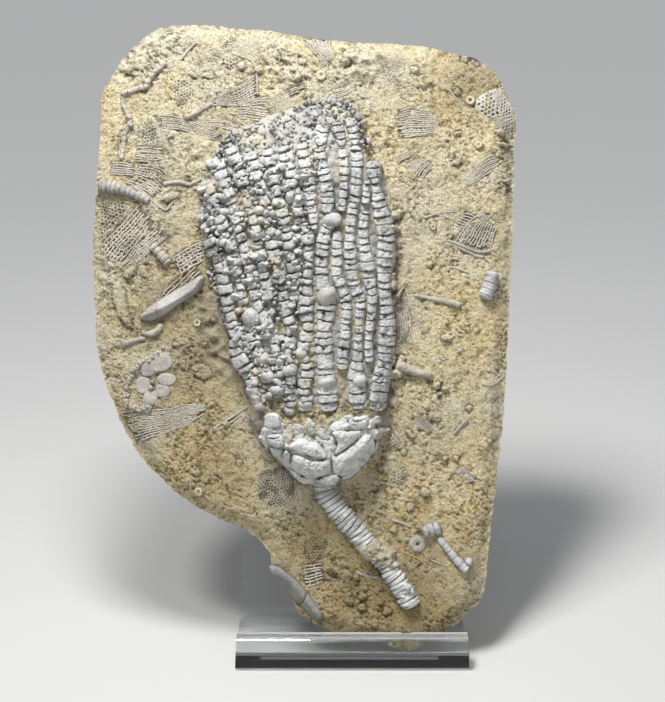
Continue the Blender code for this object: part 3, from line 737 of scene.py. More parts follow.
def add_lace(piece, runs, bars, half, seed, lift):
    """Lace coral: its broken ribs, joined by short bars."""
    dice = random.Random(seed)
    for run in runs:
        shown = []
        for point in run + [None]:
            if point is not None and ripple(point.x, point.y, 2.6, BREAKS_LAYER) > BREAKS:
                shown.append(point)
                continue
            if len(shown) > 3:
                add_strip(piece, shown, half, lift, seed)
            shown = []
    for one, two in zip(runs, runs[1:]):
        shared = min(len(one), len(two)) - 1
        for b in range(bars):
            k = int((b + 0.5 + dice.uniform(-0.25, 0.25)) / bars * shared)
            start, end = one[k], two[k]
            if ripple(start.x, start.y, 2.6, BREAKS_LAYER) > BREAKS + 0.05:
                add_strip(piece, [start.lerp(end, t) for t in (0.0, 0.5, 1.0)], half * 0.9, lift * 0.8, seed)


# ---------------------------------------------------------------- crown

# Arms from the left to the right: node, width and route, in pixels of the view.
ARMS = {
    "arm_left_rim": (4.9, at((262, 404), (255, 390), (249, 372), (238, 352), (236, 334), (232, 316),
        (228, 298), (225, 278), (219, 258), (210, 240))),
    "arm_left_lobe": (4.2, at((268, 388), (266, 372), (262, 356), (253, 343), (251, 328), (246, 312),
        (243, 294), (239, 274), (234, 254), (226, 232), (217, 210), (210, 190))),
    "arm_left_lobe_upper": (3.9, at((279, 384), (281, 366), (277, 350), (273, 336), (265, 320), (258, 304),
        (253, 286), (249, 266), (245, 246), (239, 226), (232, 204), (225, 182), (220, 160))),
    "arm_left_fork": (3.7, at((271, 301), (267, 284), (263, 264), (259, 244), (255, 224), (250, 204),
        (244, 184), (237, 166), (231, 150))),
    "arm_middle_left": (3.9, at((292, 406), (291, 388), (291, 368), (289, 350), (291, 332), (288, 314),
        (284, 296), (281, 276), (276, 256), (272, 236), (268, 216), (263, 196), (257, 176), (251, 156))),
    "arm_middle_fork": (3.7, at((297, 288), (293, 270), (290, 250), (286, 230), (282, 210), (277, 190),
        (272, 170), (268, 152))),
    "arm_middle": (4.8, at((307, 410), (306, 390), (307, 370), (304, 353), (306, 338), (308, 323),
        (306, 308), (307, 292), (308, 276), (309, 258), (308, 240), (302, 222), (297, 204), (292, 184),
        (288, 164), (285, 150))),
    "arm_inner": (4.4, at((315, 232), (313, 214), (311, 198), (308, 180), (305, 162), (302, 148))),
    "arm_knotted": (5.4, at((329, 410), (328, 395), (327, 378), (325, 360), (324, 344), (325, 326),
        (327, 306), (324, 288), (322, 270), (323, 250), (325, 236), (330, 224))),
    "arm_knotted_left": (3.7, at((327, 216), (328, 200), (326, 184), (322, 168), (319, 150))),
    "arm_knotted_right": (3.9, at((341, 214), (343, 200), (344, 184), (344, 168), (342, 150))),
    "arm_right_inner": (4.1, at((342, 369), (343, 352), (345, 336), (346, 320), (346, 304), (342, 290),
        (337, 276), (337, 262), (337, 248), (338, 234))),
    "arm_right": (4.5, at((357, 408), (357, 392), (356, 376), (357, 360), (358, 342), (359, 324),
        (360, 304), (354, 286), (351, 268), (350, 250), (350, 232), (352, 214), (355, 198), (356, 182),
        (357, 164), (355, 148))),
    "arm_right_outer": (4.1, at((369, 362), (368, 345), (369, 330), (371, 314), (372, 298), (369, 282),
        (367, 264), (364, 246), (363, 228), (365, 214))),
    "arm_right_rim": (4.6, at((376, 410), (378, 394), (381, 378), (384, 362), (386, 345), (387, 326),
        (386, 308), (384, 290), (384, 272), (385, 254), (386, 238), (383, 222), (379, 206), (376, 190),
        (374, 176), (373, 163))),
}
# Short upper arms that run into the broken tips, in the same form.
SHORT_ARMS = {
    "short_arm_1": (3.6, at((320, 149), (321, 139), (323, 127))),
    "short_arm_2": (3.7, at((342, 149), (340, 138), (337, 125))),
    "short_arm_3": (3.8, at((355, 147), (353, 135), (351, 122))),
    "short_arm_4": (3.4, at((365, 206), (366, 196), (367, 184))),
}
# The knobby left arms and the neat right ones: how wide and long a segment is, how much it is out of
# line, off centre, uneven and bulged, the seam's width, drop and line of painted shade, stains, point
# spacing.
STYLE_KEYS = ("widen", "segment", "jolt", "skew", "ragged", "bulge", "seam", "drop", "line", "spots", "step")
LEFT_STYLE = dict(zip(STYLE_KEYS, (1.0, 2.15, 0.55, 0.22, 1.0, 0.15, 0.30, 0.90, 0.20, 1.3, 0.21)))
RIGHT_STYLE = dict(zip(STYLE_KEYS, (1.13, 1.95, 0.20, 0.0, 0.4, 0.0, 0.20, 0.55, 0.15, 0.8, 0.175)))
ARM_RELIEF = 3.7
SEAM_SAG = 0.30                  # how far a seam's middle hangs below its ends
CROWN_FILL = 1.5                 # how far the matrix fills the grooves between the arms


def is_left(name):
    return "left" in name[:8] or "middle" in name


def arm_plans():
    """Places, headings and nominal half widths of every arm at even steps."""
    plans = {}
    for name, (width, route) in {**ARMS, **SHORT_ARMS}.items():
        points = curve_through(route, 0.65)
        plans[name] = [(p, h, width / 2) for p, h in zip(points, headings(points))]
    return plans


def room_for(place, heading, half, name, plans):
    """Half width that just meets the arms beside this place."""
    across = across_from(heading)
    allowed = half
    for other, stations in plans.items():
        for there, _, other_half in stations if other != name else ():
            offset = there - place
            if abs(offset.dot(heading)) < 0.5 and offset.length < 7:
                allowed = min(allowed, abs(offset.dot(across)) * half / (half + other_half))
    return max(allowed, 0.45)


def make_arm(name, plans, node=None):
    """An arm as one worn ridge, parted into its segments by thin sagging seams."""
    route = {**ARMS, **SHORT_ARMS}[name][1]
    style = LEFT_STYLE if is_left(name) else RIGHT_STYLE
    dice = random.Random(name)
    rooms = np.array([room_for(p, h, half * style["widen"], name, plans) - 0.03
                      for p, h, half in plans[name]])
    rooms = np.convolve(np.pad(rooms, 1, mode="edge"), (0.25, 0.5, 0.25), mode="valid")
    centre = curve_through(route, 0.1)
    line, way = plan_of(centre), plan_of(headings(centre))
    across = np.column_stack([way[:, 1], -way[:, 0]])
    length = 0.1 * (len(line) - 1)
    here = 0.1 * np.arange(len(line))
    half = np.interp(here, np.linspace(0, length, len(rooms)), rooms)
    seams = [-0.3]
    while seams[-1] < length:
        seams.append(seams[-1] + style["segment"] * dice.uniform(0.68, 1.32)
                     * (1.5 if dice.random() < 0.1 else 1.0))
    seams = np.array(seams)
    traits = np.array([[dice.uniform(-1, 1) for _ in range(5)] for _ in seams])
    notch = np.min(np.abs(here[:, None] - 0.4 * SEAM_SAG - seams[None, :]), axis=1)
    side = half * (1 + 0.16 * ripples(line, 1.5, 3.3)) * (1 - 0.10 * np.exp(-(notch / 0.25) ** 2))
    side = side * rounded(np.clip(np.minimum(here, length - here) / (0.7 * half), 0.06, 1.0))
    rim = np.concatenate([line[::2] + across[::2] * side[::2, None],
                          (line[::2] - across[::2] * side[::2, None])[::-1]])

    def shape(plan, edge):
        near = np.array([np.argmin(np.hypot(line[:, 0] - u, line[:, 1] - v)) for u, v in plan])
        offset = plan - line[near]
        s = here[near] + np.sum(offset * way[near], axis=1)
        x = np.clip(np.sum(offset * across[near], axis=1) / half[near], -1.0, 1.0)
        s = s - SEAM_SAG * x * x + 0.30 * ripples(plan, 1.3, 2.6) + 0.35 * x * ripples(line[near], 3.0, 7.9)
        number = np.clip(np.searchsorted(seams, s) - 1, 0, len(seams) - 2)
        start, stop = seams[number], seams[number + 1]
        gap = np.minimum(s - start, stop - s)
        t = np.clip((s - start) / (stop - start), 0.0, 1.0)
        lift, lean, _, tone, size = traits[number].T
        x = x + style["skew"] * lean
        broad = np.clip(1 - np.abs(x / (0.93 + 0.16 * size * style["ragged"])) ** 4.0, 0.0, 1.0) ** 0.5
        belly = (1 - (2 * t - 1) ** 4) ** 0.5
        top = ARM_RELIEF * (0.28 + 0.72 * broad) + style["jolt"] * (1.1 * lift + lean * x) + 0.35 * (0.5 - t)
        top = top * (1 - style["bulge"] + style["bulge"] * belly)
        top = top - style["drop"] * (1 - smooth(gap / style["seam"]))
        worn = np.clip(fractal(plan, 1.5, 6.3, 3) - 0.18, 0.0, 1.0)
        top = top + 0.17 * fractal(plan, 0.8, 1.9, 3) + 0.09 * cells(plan, 0.55, 4.0) - 0.7 * worn
        broken = smooth(0.75 + 2.2 * ripples(plan, 1.9, 8.1))
        # Painted shade in the seams, down the arm's sides and in worn hollows, with some random tone.
        crevice = 0.85 * np.exp(-(gap / style["line"]) ** 2) * broken + 0.08 * (1 + tone)
        crevice = crevice + 0.08 * sand_grains(len(plan), len(plan))
        crevice = crevice + 0.75 * smooth((np.abs(x) - 0.84) / 0.16) + 0.8 * worn
        crevice = crevice - 0.25 * fractal(plan, 1.2, 5.5, 3)
        spots = np.clip(ripples(plan, 4.0, 2.2) - 0.16, 0, 1) * style["spots"]
        return ground.read(plan) - 0.2 + top, {"crevice": crevice, "stain": np.clip(spots, 0, 1)}

    piece = Piece()
    add_field(piece, [Vector(p) for p in rim], style["step"], shape, 0.4)
    for nodule in NODULES.get(name, ()):
        add_nodule(piece, *nodule)
    piece.build("crown_" + name, "fossil_calcite", node)


# Swollen segments: arm, pixel, half width and half height in pixels, rise in millimetres, stain.
NODULES = {
    "arm_knotted": (((327, 297), 10, 10, 5.4, 0.25), ((332, 223), 10.5, 7.5, 5.0, 0.0), ((327, 382), 9.5, 7,
        4.9, 0.05), ((327, 366), 8, 6, 4.2, 0.0)),
    "arm_right": (((357, 380), 9, 6.5, 4.8, 0.0),),
    "arm_left_lobe": (((253, 318), 10, 9, 4.9, 0.0), ((269, 376), 7.5, 6.5, 5.0, 0.0), ((254, 389), 7.5, 4,
        4.4, 0.0), ((259, 397), 7.5, 5, 4.3, 0.0), ((263, 405), 8, 5.5, 4.1, 0.0)),
    "arm_left_lobe_upper": (((266, 328), 4.6, 4.6, 5.2, 0.0), ((278, 390), 8, 5.5, 5.0, 0.0), ((264, 358),
        7, 6.5, 4.6, 0.3)),
    "arm_middle_left": (((291, 408.5), 7, 6, 4.8, 0.0), ((290, 370), 8, 6, 4.9, 0.1), ((281, 361), 5.5, 5,
        4.8, 0.0)),
    "arm_middle": (((306, 403), 8, 4.5, 4.4, 0.0), ((302, 353), 6.5, 5, 4.8, 0.0)),
    "arm_left_rim": (((214, 190), 8, 6, 3.8, 0.0), ((226, 214), 6, 5, 4.4, 0.0), ((222, 180), 6, 6, 4.2,
        0.0)),
    "arm_left_fork": (((260, 213), 7, 5, 4.8, 0.0), ((263, 223), 6, 4, 4.5, 0.0), ((273, 235), 6, 5, 4.8,
        0.0), ((258, 238), 6, 4, 4.5, 0.1), ((224, 200), 5.5, 4.5, 4.6, 0.0)),
}
# A nodule's rings, as places along it and how wide it is there, and how round its section is.
NODULE_RINGS = ((-1.0, 0.0), (-0.985, 0.62), (-0.92, 0.85), (-0.76, 0.96), (-0.4, 1.0), (0.0, 1.01),
                (0.4, 1.0), (0.76, 0.96), (0.92, 0.85), (0.985, 0.62), (1.0, 0.0))
NODULE_SIDES = 18
ROUNDNESS = 0.8


def add_nodule(piece, pixel, wide, tall, height, stain):
    """A swollen arm segment: a rounded pillow with worn, chipped faces."""
    dice = random.Random(pixel[0])
    tone = 0.22 * dice.random() ** 2
    along, swell = np.array(NODULE_RINGS).T
    swell = swell * (1 - ROUNDNESS) + np.sqrt(np.maximum(0.0, 1 - along ** 2)) * ROUNDNESS
    angle = 2 * np.pi * (np.arange(NODULE_SIDES) + 0.5) / NODULE_SIDES
    unit = np.empty((len(along), NODULE_SIDES, 3))
    unit[..., 0] = along[:, None]
    for axis, round_value in ((1, np.cos(angle)), (2, np.sin(angle))):
        boxy = np.abs(round_value) ** (0.60 + 0.40 * ROUNDNESS)
        unit[..., axis] = swell[:, None] * np.sign(round_value) * boxy
    unit = unit.reshape(-1, 3)
    for _ in range(2):
        way = Vector((dice.uniform(-1, 1), dice.uniform(-1, 1), dice.uniform(-0.1, 1.0))).normalized()
        over = np.maximum(unit @ np.array(way) - dice.uniform(0.72, 1.0), 0.0)
        unit = unit - over[:, None] * np.array(way)
    body = unit * np.array([tall * PIXEL_MM, wide * PIXEL_MM, height / 2])
    push = np.array([1 + 0.16 * noise.noise(Vector(p) / 1.25 + Vector((pixel[0], 0, 0)))
                     + 0.08 * noise.noise(Vector(p) / 0.42 + Vector((0, pixel[0], 0))) for p in body])
    body = body * push[:, None]
    centre = at(pixel)[0]
    # Painted shade towards the nodule's ends and on its underside.
    deep = np.maximum(0.0, (np.abs(unit[:, 0]) - 0.70) / 0.30) * (1 - 0.7 * ROUNDNESS)
    low = np.maximum(0.0, 0.24 - unit[:, 2]) / 1.24
    rings = np.arange(len(unit)).reshape(len(along), NODULE_SIDES).tolist()
    spot = max(0.0, ripple(centre[0], centre[1], 4.0, 2.2) - 0.14) * 1.2
    middle = ground.height(centre) - 0.3 + height / 2
    piece.add(np.column_stack([np.array(centre) + body[:, [1, 0]], middle + body[:, 2]]), tube(rings),
              crevice=np.clip(tone + 0.6 * deep + 1.5 * low, 0.0, 1.0), stain=min(1.0, spot + stain))


def crust_shape(plan, edge):
    """Crumbly matrix and fine debris, high below the arms' feet and low among the broken tips."""
    u, v = plan.T
    below_tips = smooth((v_at(150) - v) / 3.0)
    right = smooth((u - u_at(312)) / 2.0) * below_tips
    foot = smooth((v_at(398) - v) / 2.5)
    left = 1 - smooth((u - u_at(285)) / 8.0)
    warped = plan + 0.5 * warp(plan, 1.9, 1.4)
    lumps, crumbs = cells(warped, 1.9, 2.0), cells(warped, 0.8, 6.0)
    fill = (1.5 * (1 - right) + 1.9 * right + 0.3 * (1 - below_tips)) * (1 - foot) + 1.8 * foot
    height = fill * smooth(edge / 2.2) + (1 - 0.5 * right - 0.3 * foot) * (0.70 * lumps + 0.45 * crumbs)
    # Painted shade between the lumps and crumbs, lighter at the arms' feet and among the broken tips.
    crevice = 0.44 - 0.28 * lumps - 0.25 * crumbs - 0.35 * fractal(plan, 2.8, 4.2, 3) - 0.2 * foot
    crevice = crevice - 0.15 * (1 - below_tips)
    stain = np.clip(0.10 + 1.6 * ripples(plan, 4.0, 2.2) + 0.25 * left, 0, 1)
    return ground.read(plan) + height - 0.3 * (edge < 0.1), {"crevice": crevice, "stain": stain}


def make_crust(name, top, bottom, finish):
    """The filling of the crown between its arms, between two rows of pixels."""
    rows = [row for row in sorted(CROWN_ROWS) if top < row[0] < bottom]
    outline = at(*[(a + 4, y) for y, a, _ in rows]) + at(*[(b - (10 if y < 230 else 4), y)
                                                          for y, _, b in reversed(rows)])
    rim = curve_through(outline, 0.5, closed=True)
    rim = [p + 0.5 * Vector((ripple(p.x, p.y, 1.7, 2.0), ripple(p.x, p.y, 1.7, 8.0))) for p in rim]
    piece = Piece()
    add_field(piece, rim, 0.31, crust_shape)
    piece.build(name, finish)


FOOT = at((243, 385), (262, 392), (300, 396), (340, 396), (376, 392), (392, 386), (391, 402), (386, 420),
    (380, 436), (330, 441), (290, 439), (264, 432), (254, 416), (247, 400))
FOOT_VIOLET = at((288, 423), (300, 421), (303, 432), (297, 438), (290, 434))


def foot_shape(plan, edge):
    """Sandy matrix between the feet of the arms and in the hollow of the cup, under painted shade."""
    hollow = soft_mask(plan, [CUP_HOLLOW], 2.4)
    violet = soft_mask(plan, [FOOT_VIOLET], 1.2)
    large, small = cells(plan, 1.0, 3.0), cells(plan, 0.6, 9.0)
    coarse = fractal(plan, 2.1, 3.7, 3)
    rough = 1 - 0.8 * violet
    height = (2.7 + 0.75 * hollow + 0.5 * coarse) * smooth(edge / 2.2) + rough * (0.2 * large + 0.15 * small)
    # Painted shade between the grains and over the band under the arms' feet, less in the cup's hollow.
    crevice = rough * (0.45 - 0.25 * large - 0.22 * small) - 0.45 * coarse + 0.25 * (1 - hollow)
    return ground.read(plan) + height, {"crevice": crevice, "violet": 0.8 * violet,
                                        "warm": 0.5 * hollow - 0.4, "stain": 0.35 * (1 - hollow),
                                        "shade": 0.55 - 0.3 * hollow}


def add_lump(piece, centre, heading, half, base, dice, points, cuts, dark):
    """A broken, angular lump: the hull of points spread over a chipped, boxy ball."""
    k = np.arange(points) + 0.5
    polar, turn = np.arccos(1 - 2 * k / points), math.pi * (1 + 5 ** 0.5) * k
    ball = np.stack([np.cos(turn) * np.sin(polar), np.sin(turn) * np.sin(polar), np.cos(polar)], axis=1)
    ball = np.sign(ball) * np.abs(ball) ** dice.uniform(0.6, 0.95)
    ball *= np.array([[dice.uniform(0.9, 1.06)] for _ in k])
    for _ in range(cuts):
        way = Vector((dice.uniform(-1, 1), dice.uniform(-1, 1), dice.uniform(-0.2, 1.0)))
        way = np.array(way.normalized())
        over = np.maximum(ball @ way - dice.uniform(0.55, 0.95), 0.0)
        ball = ball - over[:, None] * way
    tone = 0.18 * dice.random() ** 2
    body = ball * np.array(half)
    plan = np.array(centre) + body[:, :1] * np.array(heading) + body[:, 1:2] * np.array(across_from(heading))
    shell = bmesh.new()
    for p in np.column_stack([plan, base + half[2] + body[:, 2]]):
        shell.verts.new(p)
    bmesh.ops.convex_hull(shell, input=shell.verts)
    bmesh.ops.delete(shell, geom=[v for v in shell.verts if not v.link_faces], context="VERTS")
    shell.verts.index_update()
    verts = np.array([tuple(v.co) for v in shell.verts])
    faces = [[v.index for v in face.verts] for face in shell.faces]
    shell.free()
    # Painted shade on the lump's lower part.
    level = (verts[:, 2] - base) / (2 * half[2])
    spot = max(0.0, ripple(centre[0], centre[1], 4.0, 2.2) - 0.14) * 1.1
    piece.add(verts, faces, crevice=np.clip(tone + dark * np.maximum(0.0, 0.60 - level), 0.0, 1.0),
              stain=min(1.0, spot))


# Loose rubble: piece, node, finish, cuts and painted shade at the foot of a lump, then the outline, the
# spacing and the range of radii in pixels, and the range of heights in millimetres.
RUBBLE = (
    ("crown_arm_tips", "arm_tips", "dusty_tips", 7, 0.25, at((212, 158), (218, 145), (226, 135), (247, 127),
        (268, 120), (285, 112), (300, 104), (316, 98), (333, 97), (350, 103), (361, 115), (367, 134),
        (368, 152), (345, 152), (318, 156), (290, 160), (262, 162), (238, 164), (214, 168)), 4.7,
        (1.6, 4.4), (2.6, 4.6)),
    ("crown_lumps", None, "fossil_calcite", 5, 1.2, at((203, 178), (214, 160), (250, 160), (300, 158),
        (322, 160), (318, 200), (312, 240), (306, 290), (300, 330), (298, 400), (266, 404), (250, 380),
        (238, 350), (230, 318), (222, 282), (206, 244), (199, 210)), 5.6, (1.6, 5.6), (3.2, 5.2)),
    ("crown_border", None, "fossil_calcite", 5, 1.2, at((204, 196), (210, 178), (217, 162), (219, 175),
        (210, 200), (206, 235), (215, 262), (223, 285), (228, 310), (234, 340), (228, 342), (216, 300),
        (202, 250)), 4.6, (1.4, 3.2), (1.2, 2.6)),
)


def make_rubble(plans):
    """The broken arm tips over the top of the crown, and the lumps among the left arms."""
    stations = [(p, h) for name in ARMS if is_left(name) for p, h, _ in plans[name]]
    for number, (name, node, finish, cuts, dark, outline, spacing, sizes, heights) in enumerate(RUBBLE):
        piece = Piece()
        dice = random.Random(40 + number)
        rim = curve_through(outline, 1.0, closed=True)
        for point in hexagonal(rim, spacing * PIXEL_MM, 0.3, 0.34, number + 5):
            centre = Vector((float(point[0]), float(point[1])))
            size = sizes[0] + (sizes[1] - sizes[0]) * dice.random() ** 1.4
            radius = size * PIXEL_MM
            turn = Vector((dice.gauss(0, 0.35), dice.gauss(0, 0.35)))
            top = dice.uniform(*heights)
            if name == "crown_arm_tips":
                heading = Vector((math.cos(8 * size), math.sin(8 * size)))
                top *= 0.50 + 0.45 * float(smooth((v_at(96) - point[1]) / 5.0))
            else:
                beside = min(stations, key=lambda station: (station[0] - centre).length)
                heading = (beside[1] + turn).normalized()
            if name == "crown_lumps" and ripple(centre.x, centre.y, 3.4, 6.2) < -0.22:
                continue
            half = (radius * dice.uniform(0.7, 1.0), radius * dice.uniform(0.9, 1.25), top / 2)
            add_lump(piece, centre, heading, half, ground.height(centre) - 0.3, dice,
                     34 if size < 3 else 52, cuts, dark)
        piece.build(name, finish, node, sharp=34)


# ---------------------------------------------------------------- cup and stem

CUP = at((326, 487), (314, 485), (303, 484), (292, 477), (286, 468), (279, 461), (271, 455), (262, 446),
    (259, 436), (262, 424), (263, 414), (272, 410.5), (281, 412), (285, 419), (295, 418), (303, 421),
    (309, 415), (317, 420), (329, 419), (336, 414), (347, 412), (358, 414), (368, 411), (381, 412),
    (384, 419), (382, 425), (393, 428.5), (384, 433), (380, 440), (378, 449), (372, 458), (361, 468),
    (354, 476), (345, 480), (338, 481), (336, 487))
CUP_HOLLOW = at((284, 420), (296, 416), (330, 416), (345, 414), (352, 418), (334, 424), (330, 440),
    (316, 440), (300, 436), (288, 442))
CUP_SEAM = 0.17
CUP_KNOBS = (((369, 426), 4.0, 5.4), ((376, 432), 3.4, 4.6), ((331, 446), 3.0, 4.9), ((261, 437), 3.2, 3.0))
CUP_HEIGHT = 3.6
CUP_ROUNDING = 7.0
# Each plate: outline in pixels, rise, width of its rounded edge, and stain.
CUP_PLATES = (
    (at((264, 414), (272, 411), (280, 414), (282, 422), (279, 427), (272, 428), (265, 426)), 1.7, 0.8, 0.0),
    (at((261, 428), (268, 426.5), (281, 427), (283, 433), (276, 437), (266, 436)), 1.2, 0.7, 0.0),
    (at((268, 434), (276, 432), (283, 434), (285, 441), (281, 446), (273, 444.5), (268, 440)), 1.9, 0.8,
        0.0),
    (at((261, 430), (266, 434), (268, 442), (270, 449), (263, 445), (259.5, 438)), 0.9, 0.6, 0.0),
    (at((270, 446), (277, 447), (285, 448), (282, 455), (281, 461), (275, 457), (271, 452)), 1.2, 0.9, 0.0),
    (at((284, 449), (290, 450), (292.5, 457), (289, 463), (284.5, 466.5), (281.5, 460)), 1.5, 0.8, 0.0),
    (at((291, 456), (296, 453), (304, 455.5), (314, 459), (324, 458.5), (331, 456.5), (331.5, 466),
        (328, 470.5), (320, 474.5), (310, 476.5), (302, 473.5), (293.5, 467)), 2.7, 2.6, 0.0),
    (at((285, 445), (294, 440), (302, 437), (310, 441), (317, 440), (323, 445), (326.5, 452), (326, 457),
        (315, 455.5), (304, 452), (295, 448.5)), 1.7, 1.8, 0.0),
    (at((332, 455.5), (338, 452.5), (350, 445.5), (361, 436), (367, 433), (372, 437), (375, 444),
        (373, 452), (366, 461), (356, 468), (343, 474.5), (335, 472), (331.5, 464)), 2.7, 2.3, 0.0),
    (at((332, 431), (340, 429), (352, 429.5), (361, 429.5), (357, 437), (349, 444), (341, 449.5),
        (334, 452), (337, 444), (336, 437)), 2.1, 1.3, 0.0),
    (at((331, 429), (333, 421), (340, 416), (347, 418), (350, 427), (341, 429)), 1.5, 1.0, 0.0),
    (at((347, 417), (354, 420), (361, 420), (367, 417), (368, 422), (363, 427), (352, 428)), 1.4, 0.8, 0.1),
    (at((368, 421), (373, 416), (380, 414), (384, 419), (379, 425), (371, 426.5)), 1.6, 0.9, 0.0),
    (at((369, 428), (376, 427.5), (379, 433), (377, 441), (372, 438), (368, 433)), 1.5, 0.8, 0.0),
    (at((374, 425), (384, 427), (393, 428.7), (385, 432), (377, 435)), 1.1, 0.6, 0.0),
    (at((376, 436), (380, 441), (378, 448), (373.5, 455), (374.5, 445)), 0.9, 0.6, 0.0),
    (at((341, 476.5), (348, 471.5), (357, 466), (355, 473), (350, 477.5), (345, 479.5)), 1.0, 0.8, 0.0),
    (at((288, 467), (296, 471), (304, 476), (312, 478), (316, 479.5), (309, 484), (303, 484), (295, 478)),
        1.3, 1.1, 0.0),
    (at((314, 479), (322, 475.5), (332, 472.5), (340, 474), (339, 480), (336, 486), (324, 486), (315, 484)),
        1.7, 1.0, 0.0),
    (at((305, 418), (310, 416), (315, 420), (314.5, 429), (312, 436), (308, 441), (305, 433)), 1.1, 1.0,
        0.12),
    (at((316, 424), (322, 421), (330, 423), (331, 431), (329, 438), (320, 435)), 0.5, 0.8, 0.0),
    (at((285, 424), (290, 421), (294, 427), (293, 437), (289, 443), (285, 437)), 0.3, 0.7, 0.6),
    (at((294, 424), (303, 421), (305, 430), (304, 437), (297, 438), (294, 432)), 0.3, 0.8, 0.0),
)
# Folds and creases: route, width, lift.
CUP_FOLDS = (
    (at((297, 461), (305, 458), (316, 461)), 0.9, 0.25),
    (at((296, 469), (306, 473.5), (318, 472.5), (328, 468)), 0.30, -0.22),
    (at((340, 467), (350, 462), (361, 454), (371, 444)), 0.35, -0.25),
    (at((340, 471.5), (351, 466), (362, 458), (372, 450)), 0.30, -0.22),
    (at((343, 458), (352, 452), (362, 444), (368, 437)), 0.60, 0.25),
    (at((290, 446), (302, 442), (316, 447), (324, 453)), 0.8, 0.30),
    (at((336, 436), (344, 441), (352, 436)), 0.5, -0.15),
)
STEM = at((324.8, 480), (326, 492), (332, 502), (338, 510.5), (346.3, 520), (355.2, 529), (362.4, 538.8),
    (367, 545), (377.7, 554), (387, 564), (391.6, 573.3), (399.3, 584.7), (404, 593), (409.3, 601),
    (412.5, 607))
STEM_HALF = (2.62, 2.25)
STEM_RIB = 1.18
# Broken scraps on the stem's end: pixel, radius in pixels, rise.
STEM_SCRAPS = (((406, 586), 5.5, 4.2), ((402, 595), 4.5, 3.9), ((411, 590), 4.0, 3.7))
# The cup's outline without its ragged top.
CUP_BODY = curve_through([p if p.y < v_at(423) else p + Vector((0.0, 11.0)) for p in CUP], 0.8, closed=True)


def cup_shape(plan, edge):
    """The cup's worn body, with plates that swell between thin seams and step down to each other."""
    body = CUP_HEIGHT * rounded(edge_distances(CUP_BODY, plan) / CUP_ROUNDING)
    body = ground.read(plan) + body * (0.62 + 0.38 * smooth(edge / 1.1))
    hollow = soft_mask(plan, [CUP_HOLLOW], 2.4)
    swell = 0.45 + 0.35 * fractal(plan, 1.6, 4.1, 3) - 0.5 * hollow
    seam = np.full(len(plan), 9.0)
    stain = 0.45 * hollow * smooth(0.7 + 3 * ripples(plan, 2.0, 1.1))
    for number, (outline, rise, rounding, tint) in enumerate(CUP_PLATES):
        near = box_of(plan, outline, 1.2)
        here = plan[near]
        depth = edge_distances(curve_through(outline, 0.5, closed=True), here)
        depth = depth + 0.10 * ripples(here, 0.9, 7.7)
        turn = 2.4 * number
        spun = (here - here.mean(axis=0)) @ np.array([math.cos(turn), math.sin(turn)])
        lift = (1 - 0.75 * hollow[near]) * rise * (0.55 + 0.45 * rounded(depth / rounding)) + 0.16 * spun
        swell[near] = np.where(depth > 0, np.maximum(swell[near], lift), swell[near])
        seam[near] = np.minimum(seam[near], np.abs(depth))
        stain[near] = np.where(depth > 0, tint, stain[near])
    for route, width, lift in CUP_FOLDS:
        swell += lift * np.exp(-(away_from(route, plan) / width) ** 2)
    broken = smooth(0.35 + 2.0 * ripples(plan, 2.2, 8.1))
    groove = np.exp(-(seam / CUP_SEAM) ** 2) * (0.15 + 0.75 * broken) * (1 - 0.5 * hollow)
    worn = np.clip(fractal(plan, 1.7, 2.3, 3) - 0.3, 0.0, 1.0)
    crumbs = cells(plan, 0.7, 5.0) * smooth(0.5 + 2.2 * ripples(plan, 3.0, 4.4))
    top = body + swell - 0.40 * groove + 0.16 * fractal(plan, 0.8, 6.1, 3) - 0.8 * worn + 0.16 * crumbs
    # Painted shade in the seams, the hollow, worn spots and round the rim, with random tone.
    crevice = 0.05 + 0.8 * groove + 0.10 * hollow - 0.42 * fractal(plan, 1.3, 8.8, 3)
    crevice = crevice + 0.7 * worn - 0.1 * crumbs + 0.25 * fractal(plan, 4.5, 3.8, 2)
    return top, {"crevice": crevice + 0.5 * (1 - smooth(edge / 0.5)), "stain": stain}


def make_cup():
    """The cup of worn plates."""
    piece = Piece()
    add_field(piece, curve_through(CUP, 0.2, closed=True), 0.175, cup_shape, 0.8)
    for place, radius, rise in CUP_KNOBS:
        add_knob(piece, place, radius, rise, 0.2, texture=0.15)
    piece.build("crown_cup", "pale_calcite", "cup")


STEM_CRUST = at((357, 553), (360, 545), (364, 541), (370, 537), (377, 538), (386, 536), (394, 543),
    (397, 551), (395, 560), (398, 567), (390, 570), (384, 566), (379, 567), (372, 561), (365, 560))


def stem_crust_shape(plan, edge):
    """Crumbly matrix that laps over the stem."""
    draped = 3.9 * np.sqrt(np.clip(1 - (away_from(STEM, plan, 0.4) / 3.6) ** 2, 0, 1)) + 0.3
    large, small = cells(plan, 1.5, 3.0), cells(plan, 0.7, 9.0)
    coarse = fractal(plan, 1.8, 3.7, 3)
    height = draped * smooth(0.25 + edge / 1.4) + 0.30 * large + 0.18 * small + 0.9 * coarse - 0.60
    # Painted shade between the crumbs, and an even painted shade over the whole crust.
    crevice = 0.42 - 0.28 * large - 0.25 * small - 0.5 * coarse
    return ground.read(plan) + height, {"crevice": crevice, "stain": np.clip(0.7 + coarse, 0, 1),
                                        "warm": 0.6 * ripples(plan, 2.5, 1.7), "shade": 0.25,
                                        "violet": np.clip(0.3 + 1.5 * ripples(plan, 2.0, 5.7), 0, 1)}


